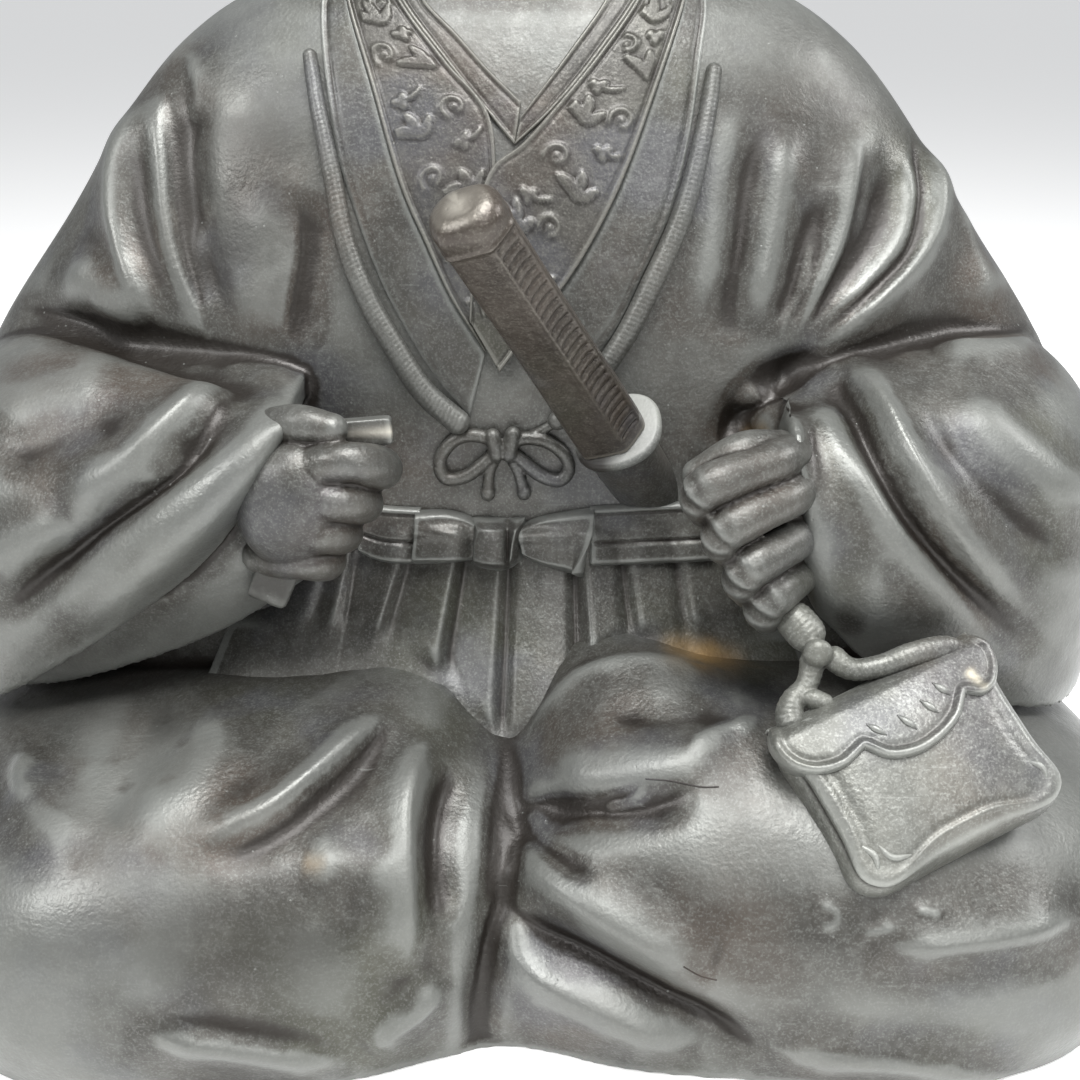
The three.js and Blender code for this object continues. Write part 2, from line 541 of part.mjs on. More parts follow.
function head() {
  const levels = [-6, 0, 5, 10.5, 15.5, 18.5, 21.5, 26, 30.5, 37, 43.5, 50.5, 60, 70, 80, HEAD_HEIGHT];
  const half = [0, 8, 16, 26, 38, 54, 78, 108, 142];
  const round = [...half.slice(1).map((angle) => -angle).reverse(), ...half, 180].map(rad);
  const rings = levels.map((height) => {
    const [wide, front, back] = flow(SKULL, height);
    return round.map((angle) => {
      const ahead = Math.cos(angle) > 0;
      const x = wide * Math.sin(angle);
      const hair = !ahead || height > hairline(x) ? HAIR_THICK : 0;
      const lift = ahead ? faceLift(x, height) * Math.cos(angle) : 0;
      const reach = (ahead ? -(front + lift) : back) * Math.abs(Math.cos(angle));
      const grow = 1 + (hair / wide) * (height > 20 ? 1 : 0);
      return V(x * grow, SKULL_Y + reach * grow, CHIN_Z + height);
    });
  });
  const at = (x, y, height) => V(x, SKULL_Y + y, CHIN_Z + height);
  const knot = [at(0, 33, 70), at(0, 31, 83), at(0, 17, 91), at(0, -4, 90)];
  const ears = [-1, 1].map((side) => ball(at(side * 31, 2, 37), [3.2, 6.5, 11], 0.12 * side));
  return union([solid(skin(rings)), ...ears, limb(knot, [7.5, 5.6, 5, 6.4], { sides: 7 })]);
}

// A fist: the palm with the wrist and the thumb, and four fingers that run from the back of the hand over the
// knuckle and the bend to the tip under the grip.
const FINGER = 4.7;

function handBack({ palm, thumb, wrist }, grow) {
  const grown = (radii) => radii.map((radius) => radius + grow);
  return union([
    ball(palm.at, grown(palm.size), palm.turn),
    limb(thumb, grown([0.9 * FINGER, 0.9 * FINGER, 0.75 * FINGER]), { sides: 6, bends: 1 }),
    limb(wrist, grown([11, 12, 11]), { sides: 7, bends: 1 }),
  ]);
}

function fist(hand, grow = 0) {
  const radii = [FINGER, FINGER, 1.05 * FINGER, 0.8 * FINGER].map((radius) => radius + grow);
  const fingers = hand.fingers.map((points) => limb(points, radii, { sides: 6, bends: 1 }));
  return union([handBack(hand, grow), ...fingers]);
}

const LEFT_FIST = {
  palm: { at: V(63, -91, 128), size: [9, 9, 17], turn: -0.15 },
  fingers: [
    [V(72, -91, 144), V(64.4, -99, 143.5), V(46.1, -107, 139.1), V(47.9, -100, 130.8)],
    [V(76, -92, 134.5), V(67.6, -101, 134.3), V(51.1, -109, 128.8), V(54.5, -101, 120.2)],
    [V(78, -93, 123), V(69.5, -101.5, 122.5), V(56.7, -109.5, 118.4), V(59.6, -101, 109.5)],
    [V(79, -92, 113), V(70.9, -100.5, 111.8), V(62.3, -108.5, 109.6), V(64.8, -101, 102.3)],
  ],
  thumb: [V(67.2, -90, 144), V(56.7, -97, 145.4), V(46, -98, 140)],
  wrist: [V(68, -88, 129), V(82, -76, 127), V(96, -64, 124)],
};
const RIGHT_FIST = {
  palm: { at: V(-58, -84, 129), size: [14, 11, 18], turn: 0.15 },
  fingers: [
    [V(-56.1, -90, 138.3), V(-41.2, -96, 142.5), V(-33, -91, 139.2), V(-36, -83, 136)],
    [V(-59.8, -90, 128.9), V(-45.4, -97, 132.3), V(-38.1, -92, 130.2), V(-41, -84, 127)],
    [V(-63.2, -89, 120.2), V(-49, -96.5, 123.5), V(-43.6, -92, 122), V(-46, -84, 119)],
    [V(-65.3, -88, 114.2), V(-53.9, -94, 115.3), V(-48.5, -91, 114), V(-50, -84, 112)],
  ],
  thumb: [V(-60, -82, 152), V(-51, -88, 154.6), V(-43.4, -90, 153.8)],
  wrist: [V(-62, -83, 130), V(-72, -75, 126), V(-86, -62, 122)],
};

// The folded fan is a flat stick in the right fist. Its foot shows under the heel of the hand, and its end
// lies as a bar on the first finger, under the thumb.
const FAN = { foot: V(-64.7, -90, 102.5), head: V(-50, -88, 135), width: 11, thickness: 6.5 };
const FAN_BAR = { from: V(-53, -89, 146.8), to: V(-30, -88, 148.4), width: 7, thickness: 4 };

function stick({ from, to, width, thickness }, grow) {
  const along = to.clone().sub(from);
  const block = new THREE.BoxGeometry(...[width, thickness, along.length()].map((side) => side + 2 * grow));
  block.applyQuaternion(new THREE.Quaternion().setFromUnitVectors(V(0, 0, 1), along.clone().normalize()));
  block.translate(...from.clone().lerp(to, 0.5).toArray());
  return solid(block);
}

const fan = (grow) => stick({ from: FAN.foot, to: FAN.head, ...FAN }, grow).add(stick(FAN_BAR, grow));

// The pouch leans on the left thigh and hangs by a forked strap from the fist.
const POUCH = { at: V(99, -128, 74), width: 62, height: 48, depth: 13 };
const POUCH_ACROSS = V(51.3, 19.3, 16.7).normalize();
const POUCH_DOWN = V(21, -30, -29.8).normalize();

function pouchFrame() {
  const out = POUCH_DOWN.clone().cross(POUCH_ACROSS).normalize();
  const rise = out.clone().cross(POUCH_ACROSS);
  return new THREE.Matrix4().makeBasis(POUCH_ACROSS, rise, out).setPosition(POUCH.at);
}

// A pillow with squared corners, drawn in at the middle of each side, most of all in front.
function pouchBag(grow) {
  const rings = [-1, -0.75, 0.75, 1].map((layer) => {
    const swell = Math.abs(layer) === 1 ? 0.84 : 1 - 0.1 * layer ** 2;
    return steps(16, (i) => {
      const angle = (2 * Math.PI * (i + 0.5)) / 16;
      const waist = swell * (1 - (0.06 + 0.03 * layer) * Math.cos(2 * angle) ** 4);
      const x = (POUCH.width / 2) * power(Math.cos(angle), 0.4) * waist + grow * Math.cos(angle);
      const y = (POUCH.height / 2) * power(Math.sin(angle), 0.4) * waist + grow * Math.sin(angle);
      return V(x * (y < 0 ? 1.04 : 1), y, (POUCH.depth / 2 + grow) * layer);
    });
  });
  return solid(skin(rings).applyMatrix4(pouchFrame()));
}

// The flap ends in three lobes: a small one at each side and a broad one in the middle.
const FLAP_CUSPS = [V(-12.5, 8.5, 0), V(17.2, 9.3, 0)];

function pouchFlap() {
  const [half, high] = [POUCH.width / 2, POUCH.height / 2];
  const [cusp, otherCusp] = FLAP_CUSPS;
  const shape = new THREE.Shape();
  shape.moveTo(-half + 2, high - 0.5);
  shape.lineTo(-half + 0.5, high - 8);
  shape.quadraticCurveTo(-half + 6, 4.5, cusp.x, cusp.y);
  shape.quadraticCurveTo(-6, 0.5, 2, 1.8);
  shape.quadraticCurveTo(11, 1.5, otherCusp.x, otherCusp.y);
  shape.quadraticCurveTo(half - 6, 4.5, half - 0.5, high - 8);
  shape.lineTo(half - 2, high - 0.5);
  shape.lineTo(-half + 2, high - 0.5);
  const depth = POUCH.depth / 2 + 1;
  const flap = new THREE.ExtrudeGeometry(shape, { depth, bevelEnabled: false, curveSegments: 3 });
  return solid(flap.applyMatrix4(pouchFrame()));
}

const STRAP = { sides: 5 };
const strap = union([
  limb([V(72.5, -107, 102.5), V(76.2, -111, 98.5)], [4.6, 4.4], STRAP),
  limb([V(75.5, -111, 98), V(73.1, -115.5, 89.6), V(67.4, -118.5, 84.5)], [3.4, 2.6, 3.2], STRAP),
  limb([V(78, -111, 98), V(89.5, -114, 94.5), V(107.8, -113.5, 101.5)], [3.2, 3, 3.4], STRAP),
]);

// The sword: hilt and guard stand out of the belt in front of the chest, the scabbard runs back through it.
const GUARD_AT = V(25.8, -72, 142);
const POMMEL_AT = V(-10.5, -119, 208.5);
const HILT_DIRECTION = POMMEL_AT.clone().sub(GUARD_AT).normalize();
const HILT_LENGTH = POMMEL_AT.distanceTo(GUARD_AT);
const GUARD_THICK = 3.4;

function swordFrame() {
  const across = V(1, 0, 0).addScaledVector(HILT_DIRECTION, -HILT_DIRECTION.x).normalize();
  const third = HILT_DIRECTION.clone().cross(across);
  return new THREE.Matrix4().makeBasis(across, third, HILT_DIRECTION).setPosition(GUARD_AT);
}

// A rod of oval section along the sword. Rows: place along, half width, half thickness.
const OVAL_SQUARE = 0.85; // 1 is a true oval, less is squarer
const RIDGE_TURN = rad(-67); // the hilt has six soft edges, one of them turned to the front
const RIDGE_HARD = 0.8; // 1 is a true hexagon, 0 an oval

const roundSection = () => 1;

function ridgedSection(angle) {
  const sixth = rad(60);
  const turn = (((angle - RIDGE_TURN) % sixth) + sixth) % sixth;
  return THREE.MathUtils.lerp(1, Math.cos(rad(30)) / Math.cos(turn - rad(30)), RIDGE_HARD);
}

function ovalRod(rows, sides, { shift = 0, section = roundSection } = {}) {
  const rings = rows.map(([along, wide, thick]) =>
    steps(sides, (i) => {
      const angle = RIDGE_TURN + (2 * Math.PI * i) / sides;
      const across = section(angle) * wide * power(Math.cos(angle), OVAL_SQUARE);
      const over = section(angle) * thick * power(Math.sin(angle), OVAL_SQUARE);
      return V(shift + across, over, along);
    }),
  );
  return solid(skin(rings).applyMatrix4(swordFrame()));
}

const HILT_FOOT = GUARD_THICK / 2 + JOINT_GAP;
const TANG = [[-14, 3, 2], [HILT_FOOT + 1, 4, 2.6]];
const grownTang = TANG.map(([along, wide, thick]) => {
  return [along - JOINT_GAP, wide + JOINT_GAP, thick + JOINT_GAP];
});
const HILT = [
  [HILT_FOOT, 10.4, 9.4], [HILT_FOOT + 4, 10.4, 9.4], [0.3 * HILT_LENGTH, 9.9, 9],
  [0.6 * HILT_LENGTH, 9.5, 8.7], [0.88 * HILT_LENGTH, 9.3, 8.6], [HILT_LENGTH - 2, 8.6, 7.8],
  [HILT_LENGTH, 6.6, 5.8],
];
const hilt = ovalRod(HILT, 12, { section: ridgedSection }).add(ovalRod(TANG, 4));
const GUARD_SHIFT = 1.8; // the guard stands out more on the figure's left
const guard = ovalRod(
  [[-GUARD_THICK / 2, 11, 10.4], [-0.5, 12, 11.4], [0.5, 12, 11.4], [GUARD_THICK / 2, 11, 10.4]],
  16,
  { shift: GUARD_SHIFT },
).subtract(ovalRod(grownTang, 4));
const scabbard = ovalRod([[-38, 6.5, 5], [-30, 8.6, 6.6], [-HILT_FOOT, 9.4, 7.6]], 10);

const headSolid = head().add(neckPlug(0));
const leftHand = fist(LEFT_FIST);
const rightHand = fist(RIGHT_FIST).add(fan(0));
const pouch = union([pouchBag(0), pouchFlap(), strap]).subtract(fist(LEFT_FIST, 2 * JOINT_GAP));
const robe = union([cloth, ...collars, ...cords, ...belt, napeRoll, scabbard])
  .subtract(neckPlug(JOINT_GAP))
  .subtract(fist(LEFT_FIST, JOINT_GAP))
  .subtract(fist(RIGHT_FIST, JOINT_GAP))
  .subtract(fan(JOINT_GAP))
  .subtract(pouchBag(JOINT_GAP))
  .subtract(ovalRod(grownTang, 4));

const BRONZE = { color: 0x5f5a52, roughness: 0.42, metalness: 0.85 };
const DARK_BRONZE = { color: 0x3d322a, roughness: 0.5, metalness: 0.8 };
const PALE_ALLOY = { color: 0xb9b6ac, roughness: 0.4, metalness: 0.85 };
const group = new THREE.Group();
group.position.set(SPINE.x, SPINE.y, 0);

function add(name, made, look = BRONZE) {
  const mesh = new THREE.Mesh(geometryOf(made), new THREE.MeshStandardMaterial(look));
  mesh.name = name;
  group.add(mesh);
}
add("robed_body", robe);
add("head", headSolid);
add("right_hand_with_fan", rightHand);
add("left_hand", leftHand);
add("pouch_and_strap", pouch);
add("sword_hilt", hilt, DARK_BRONZE);
add("sword_guard", guard, PALE_ALLOY);

export default group;
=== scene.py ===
import math

import bmesh
import bpy
import numpy as np
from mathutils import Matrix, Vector
from mathutils.bvhtree import BVHTree


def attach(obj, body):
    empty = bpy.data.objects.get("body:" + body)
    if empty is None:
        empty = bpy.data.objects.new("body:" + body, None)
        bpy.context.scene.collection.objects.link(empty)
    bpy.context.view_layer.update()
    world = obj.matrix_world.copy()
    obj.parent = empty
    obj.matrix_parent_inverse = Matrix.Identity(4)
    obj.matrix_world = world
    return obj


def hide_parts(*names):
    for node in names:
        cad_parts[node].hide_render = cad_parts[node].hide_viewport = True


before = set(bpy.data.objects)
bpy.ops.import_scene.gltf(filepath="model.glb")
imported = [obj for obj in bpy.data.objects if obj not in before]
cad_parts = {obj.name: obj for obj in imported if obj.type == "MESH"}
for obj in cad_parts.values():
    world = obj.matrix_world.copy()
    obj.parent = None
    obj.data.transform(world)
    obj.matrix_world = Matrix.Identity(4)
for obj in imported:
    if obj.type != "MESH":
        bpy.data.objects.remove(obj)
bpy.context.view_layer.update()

# The robed body: jacket, sleeves and hakama in one hollow casting of dark bronze, chased by hand.
# It is worked out in millimetres from the spine at floor level, facing -Y. Folds and edges are laid out on a
# drawing board, 1080 units across, that stands square to a line of sight from in front and above.
SPINE = np.array([1.2, 32.9, 0.0])  # the spine's place from the middle of the base
MILLIMETRE = 0.001
EYE = np.array([7.0, -426.0, 255.0])
SIGHT_TILT = math.radians(22)
BOARD_DISTANCE = 1407
BOARD_MIDDLE = 540
AHEAD = np.array([0, math.cos(SIGHT_TILT), -math.sin(SIGHT_TILT)])
UP = np.array([0, math.sin(SIGHT_TILT), math.cos(SIGHT_TILT)])
ACROSS = np.array([1.0, 0, 0])

BODY_HALF_WIDTH = 176
LAP_HEIGHT = 82
SHOULDER_Z = 243
NECK_Z = 265


def to_board(points):
    """Where points fall on the board: places across and down."""
    away = points - EYE
    scale = BOARD_DISTANCE / (away @ AHEAD)
    return np.stack([BOARD_MIDDLE + away[..., 0] * scale, BOARD_MIDDLE - (away @ UP) * scale], axis=-1)


def sight_lines(places):
    """Unit directions from the eye through places on the board."""
    u, v = places[..., :1], places[..., 1:2]
    lines = AHEAD * BOARD_DISTANCE + UP * (BOARD_MIDDLE - v) + ACROSS * (u - BOARD_MIDDLE)
    return lines / np.linalg.norm(lines, axis=-1, keepdims=True)


def flow(table, at):
    """A smooth curve through a table's rows (at, value, value...), read at many places."""
    table = np.asarray(table, float)
    at = np.atleast_1d(np.asarray(at, float))
    i = np.clip(np.searchsorted(table[:, 0], at, side="right") - 1, 0, len(table) - 2)
    a, b = table[i], table[i + 1]
    before, after = table[np.maximum(i - 1, 0)], table[np.minimum(i + 2, len(table) - 1)]
    span = b[:, :1] - a[:, :1]
    t = np.clip((at[:, None] - a[:, :1]) / span, 0, 1)
    leave = (b[:, 1:] - before[:, 1:]) / (b[:, :1] - before[:, :1]) * span
    arrive = (after[:, 1:] - a[:, 1:]) / (after[:, :1] - a[:, :1]) * span
    rise = t * t * (3 - 2 * t)
    return a[:, 1:] + rise * (b[:, 1:] - a[:, 1:]) + (t**3 - 2 * t**2 + t) * leave + (t**3 - t**2) * arrive


def power(value, exponent):
    return np.sign(value) * np.abs(value) ** exponent


def smoothstep(value, low, high):
    t = np.clip((value - low) / (high - low), 0, 1)
    return t * t * (3 - 2 * t)


def unit(vectors):
    return vectors / np.maximum(np.linalg.norm(vectors, axis=-1, keepdims=True), 1e-9)


def linked(name, mesh):
    made = bpy.data.objects.new(name, mesh)
    bpy.context.scene.collection.objects.link(made)
    return made


def piece(name, points, faces):
    """A new object of points in millimetres from the spine, its faces turned outward."""
    mesh = bpy.data.meshes.new(name)
    mesh.from_pydata((points + SPINE) * MILLIMETRE, [], faces)
    shape = bmesh.new()
    shape.from_mesh(mesh)
    bmesh.ops.recalc_face_normals(shape, faces=shape.faces)
    shape.to_mesh(mesh)
    shape.free()
    return linked(name, mesh)


def loft(name, rings):
    """A closed skin over rows of rings, with a fan over both ends."""
    rows, sides = rings.shape[:2]
    points = np.vstack([rings.reshape(-1, 3), rings[0].mean(0), rings[-1].mean(0)])
    here = np.arange(sides)
    after = (here + 1) % sides
    last = (rows - 1) * sides
    faces = []
    for row in range(0, last, sides):
        faces += np.stack([row + here, row + after, row + sides + after, row + sides + here], 1).tolist()
    faces += np.stack([here * 0 + rows * sides, after, here], 1).tolist()
    faces += np.stack([here * 0 + rows * sides + 1, last + here, last + after], 1).tolist()
    return piece(name, points, faces)


# Jacket rows: height, half width, reach in front of the spine, reach behind it.
BELL = [
    (0, 0.86 * BODY_HALF_WIDTH, 90, 96),
    (40, 0.93 * BODY_HALF_WIDTH, 90, 99),
    (60, 0.96 * BODY_HALF_WIDTH, 84, 98),
    (80, 0.985 * BODY_HALF_WIDTH, 72, 96),
    (100, BODY_HALF_WIDTH, 64, 93),
    (125, 0.98 * BODY_HALF_WIDTH, 62, 89),
    (157, 0.885 * BODY_HALF_WIDTH, 60, 82),
    (190, 0.745 * BODY_HALF_WIDTH, 54, 73),
    (215, 0.645 * BODY_HALF_WIDTH, 47, 64),
    (232, 0.565 * BODY_HALF_WIDTH, 40, 55),
    (SHOULDER_Z, 0.49 * BODY_HALF_WIDTH, 34, 48),
    (250, 0.42 * BODY_HALF_WIDTH, 29, 43),
    (256, 0.33 * BODY_HALF_WIDTH, 25, 38),
    (261, 0.25 * BODY_HALF_WIDTH, 22, 33),
    (NECK_Z, 0.17 * BODY_HALF_WIDTH, 18, 28),
]
BELL_SIDES, BELL_ROWS = 300, 134
BELL_SQUARE = 0.9
BACK_WAVE, BACK_WAVES = 2, 9  # the back hangs in this many waves, this deep
WAVE_TOP = 225  # height at which the waves end


def bell():
    """The jacket as one bell from the floor to the neck."""
    turns = np.linspace(-math.pi, math.pi, BELL_SIDES, endpoint=False)
    rings = []
    for z in np.linspace(0, NECK_Z, BELL_ROWS):
        wide, front, back = flow(BELL, z)[0]
        hang = BACK_WAVE * smoothstep(z, 0, 30) * smoothstep(WAVE_TOP - z, 0, 60)
        reach = np.where(np.cos(turns) > 0, -front, back + hang * np.cos(BACK_WAVES * turns))
        x = wide * power(np.sin(turns), BELL_SQUARE)
        rings.append(np.stack([x, reach * np.abs(np.cos(turns)) ** BELL_SQUARE, np.full_like(turns, z)], 1))
    return loft("bell", np.array(rings))


# Sleeves hang from the forearms as bags. Rows run along the arm from the cuff out:
# distance from the spine, top, lower edge, reach in front.
SLEEVES = {
    "right": [
        (56, 153, 148, 89), (61, 156, 139, 92), (66, 158, 131, 94), (75, 160, 119, 97), (83, 161, 111, 98),
        (92, 162, 104, 98), (114, 163, 88, 96), (141, 159, 70, 87), (160, 148, 60, 66), (172, 128, 62, 40),
        (180, 104, 68, 20),
    ],
    "left": [
        (70, 152, 143, 94), (75, 155, 110, 97), (85, 158, 94, 99), (93, 160, 87, 100), (110, 162, 79, 98),
        (130, 161, 70, 91), (150, 155, 63, 80), (165, 143, 60, 60), (174, 124, 62, 36), (180, 104, 68, 20),
    ],
    "lining": [
        (50, 136, 107, 79), (60, 142, 101, 84), (78, 146, 90, 86), (100, 148, 80, 84), (125, 146, 70, 78),
        (150, 140, 62, 66),
    ],
}
SLEEVE_ROOT_Y = -4
SLEEVE_ROWS, SLEEVE_SIDES = 70, 60
SLEEVE_CREST = (1.08, 5)  # the upper bend: share of the reach, millimetres over the top
SLEEVE_BELLY = (1.14, 0.45)  # the lower bend: share of the reach, share of the height
SLEEVE_LIP = 0.96  # the lower edge: share of the reach
SLEEVE_HOLLOW = (0.6, 0.2)  # behind the edge: share of the reach, share of the height
SLEEVE_ROOT_RISE = 6


def sleeve(name, side):
    """A bag that bows out in front from the arm's top to its lower edge, and in under it."""
    table = SLEEVES[name]
    across = np.linspace(table[0][0], table[-1][0], SLEEVE_ROWS)
    top, low, front = flow(table, across).T
    x = side * across

    def place(reach, z):
        return np.stack([x, reach + 0 * x, z], 1)

    start, lip = place(SLEEVE_ROOT_Y, top), place(-SLEEVE_LIP * front, low)
    crest = place(-SLEEVE_CREST[0] * front, top + SLEEVE_CREST[1])
    belly = place(-SLEEVE_BELLY[0] * front, low + SLEEVE_BELLY[1] * (top - low))
    t = np.linspace(0, 1, SLEEVE_SIDES)[None, :, None]
    arc = (1 - t) ** 3 * start[:, None] + 3 * (1 - t) ** 2 * t * crest[:, None]
    arc = arc + 3 * (1 - t) * t**2 * belly[:, None] + t**3 * lip[:, None]
    hollow = place(-SLEEVE_HOLLOW[0] * front, low + SLEEVE_HOLLOW[1] * (top - low))
    root = place(SLEEVE_ROOT_Y, low + SLEEVE_ROOT_RISE)
    return loft("sleeve", np.concatenate([arc, hollow[:, None], root[:, None]], axis=1))


# The folded legs. Rows by the angle from straight ahead, positive to the figure's left: reach from the
# middle, height.
LEGS_MIDDLE = np.array([-2.0, -22, 0])
LEGS = [
    (-180, 112, 68), (-150, 124, 68), (-120, 150, 70), (-90, 177, 72), (-75, 189, 74), (-62, 193, 75),
    (-50, 189, 76), (-42, 183, 77), (-33, 167, 79), (-25, 152, 79), (-15, 139, 76), (-8, 129, 71),
    (0, 123, 67), (6, 126, 72), (12, 133, 80), (19, 141, 85), (27, 152, 87), (35, 167, 86),
    (43, 184, LAP_HEIGHT), (50, 194, 80), (60, 198, 78), (75, 191, 76), (90, 178, 74), (120, 150, 70),
    (150, 124, 68), (180, 112, 68),
]
LEGS_SIDES, LEGS_ROWS = 360, 80
LEGS_SQUARE = 0.62
HEM_TUCK = 0.03  # share by which the hem is drawn in at the floor
HEM_RISE = 0.35  # share of the height up to which the hem is tucked in


def legs():
    turns = np.linspace(-180, 180, LEGS_SIDES, endpoint=False)
    reach, height = flow(LEGS, turns).T
    turns = np.radians(turns)
    rings = []
    for climb in np.radians(np.linspace(0, 88, LEGS_ROWS)):
        share = math.sin(climb) ** LEGS_SQUARE
        out = reach * (1 - HEM_TUCK * max(0, 1 - share / HEM_RISE) ** 2) * math.cos(climb) ** LEGS_SQUARE
        rings.append(np.stack([out * np.sin(turns), -out * np.cos(turns), share * height], 1) + LEGS_MIDDLE)
    return loft("legs", np.array(rings))


VOXEL = 1.0  # millimetres
ROBE_ROUNDS = 9
ROBE_FACES = 185_000
EVEN_IN, EVEN_OUT = 0.6, 0.62  # shares of one round of evening out, in and out again


def points_of(made):
    flat = np.empty(len(made.data.vertices) * 3, np.float32)
    made.data.vertices.foreach_get("co", flat)
    return flat.reshape(-1, 3).astype(float) / MILLIMETRE - SPINE


def normals_of(made):
    flat = np.empty(len(made.data.vertices) * 3, np.float32)
    made.data.vertex_normals.foreach_get("vector", flat)
    return flat.reshape(-1, 3).astype(float)


def set_points(made, points):
    made.data.vertices.foreach_set("co", ((points + SPINE) * MILLIMETRE).astype(np.float32).ravel())
    made.data.update()


def with_modifier(made, kind, **settings):
    """Applies one modifier to the mesh."""
    modifier = made.modifiers.new(kind, kind)
    for key, value in settings.items():
        setattr(modifier, key, value)
    bpy.context.view_layer.update()
    mesh = bpy.data.meshes.new_from_object(made.evaluated_get(bpy.context.evaluated_depsgraph_get()))
    made.modifiers.clear()
    made.data = mesh
    return made


def joined(name, parts):
    """One object of all the parts' meshes."""
    whole = bmesh.new()
    for part in parts:
        whole.from_mesh(part.data)
        bpy.data.objects.remove(part)
    mesh = bpy.data.meshes.new(name)
    whole.to_mesh(mesh)
    whole.free()
    return linked(name, mesh)


def edges_of(made):
    flat = np.empty(len(made.data.edges) * 2, np.int32)
    made.data.edges.foreach_get("vertices", flat)
    return flat.reshape(-1, 2)


def averaged(values, edges):
    """Each point's mean over its neighbours."""
    count = len(values)
    ends, starts = np.concatenate([edges[:, 0], edges[:, 1]]), np.concatenate([edges[:, 1], edges[:, 0]])
    shares = np.maximum(np.bincount(ends, minlength=count), 1)
    if values.ndim == 1:
        return np.bincount(ends, values[starts], count) / shares
    return np.stack([np.bincount(ends, values[starts, k], count) / shares for k in range(values.shape[1])], 1)


def smoothed(points, edges, rounds):
    """Evens out ripples and keeps the volume."""
    for _ in range(rounds):
        points = points + EVEN_IN * (averaged(points, edges) - points)
        points = points - EVEN_OUT * (averaged(points, edges) - points)
    return points


def fused(name, parts, voxel, rounds):
    """The parts melted into one skin, as in one pour."""
    made = with_modifier(joined(name, parts), "REMESH", mode="VOXEL", voxel_size=voxel * MILLIMETRE)
    set_points(made, smoothed(points_of(made), edges_of(made), rounds))
    return made


ROUND_END = np.radians([80, 62, 44, 26, 10])


def spread_out(values, shares):
    """Values set evenly along a length, read at shares of it."""
    return flow(np.column_stack([np.linspace(0, 1, len(values)), values]), shares)


def limb(points, radii, sides=20, bends=8, flat=1.0):
    """A rod with round ends along a curve, its radius running through the radii."""
    line = curve(points, bends * (len(points) - 1))
    radius = spread_out(radii, np.linspace(0, 1, len(line)))
    along = unit(np.gradient(line, axis=0))
    across = unit(np.cross([0.001, 0, 1], along))
    rise = np.cross(along, across)
    turns = np.linspace(0, 2 * math.pi, sides, endpoint=False)[:, None]

    def ring(i, shrink, push):
        reach = radius[i] * shrink
        sweep = np.cos(turns) * across[i] + flat * np.sin(turns) * rise[i]
        return line[i] + push * radius[i] * along[i] + reach * sweep

    start = [ring(0, math.cos(cap), -math.sin(cap)) for cap in ROUND_END]
    end = [ring(-1, math.cos(cap), math.sin(cap)) for cap in ROUND_END[::-1]]
    return loft("limb", np.array(start + [ring(i, 1, 0) for i in range(len(line))] + end))


def curve(places, pieces):
    """Evenly spread places on a smooth curve through a few."""
    places = np.asarray(places, float)
    rows = np.column_stack([np.arange(len(places)), places])
    fine = flow(rows, np.linspace(0, len(places) - 1, 12 * len(places)))
    along = np.concatenate([[0], np.cumsum(np.linalg.norm(np.diff(fine, axis=0), axis=1))])
    wanted = np.linspace(0, along[-1], pieces + 1)
    return np.stack([np.interp(wanted, along, fine[:, k]) for k in range(fine.shape[1])], 1)


def thinned(made, faces):
    """The same skin with fewer triangles, most of them left where it bends."""
    made.data.calc_loop_triangles()
    share = faces / len(made.data.loop_triangles)
    return with_modifier(made, "DECIMATE", ratio=share) if share < 1 else made


# The jacket's collar lies in a roll round the nape, and cloth is bunched up between the chest and the left
# cuff.
NAPE_TURNS = np.radians(np.linspace(-118, 118, 9))
NAPE_ROLL = np.stack([33 * np.sin(NAPE_TURNS), 2 + 30 * np.cos(NAPE_TURNS), 258 + 5 * np.cos(NAPE_TURNS)], 1)
BUNCH = [(52, -38, 151), (64, -50, 146), (77, -64, 141)]
sleeves = [sleeve("right", -1), sleeve("lining", -1), sleeve("left", 1)]
rolls = [limb(NAPE_ROLL, [4, 6, 6.5, 6, 4], flat=1.5), limb(BUNCH, [8, 9, 8])]
robe = fused("robe", [bell(), *sleeves, legs(), *rolls], VOXEL, ROBE_ROUNDS)


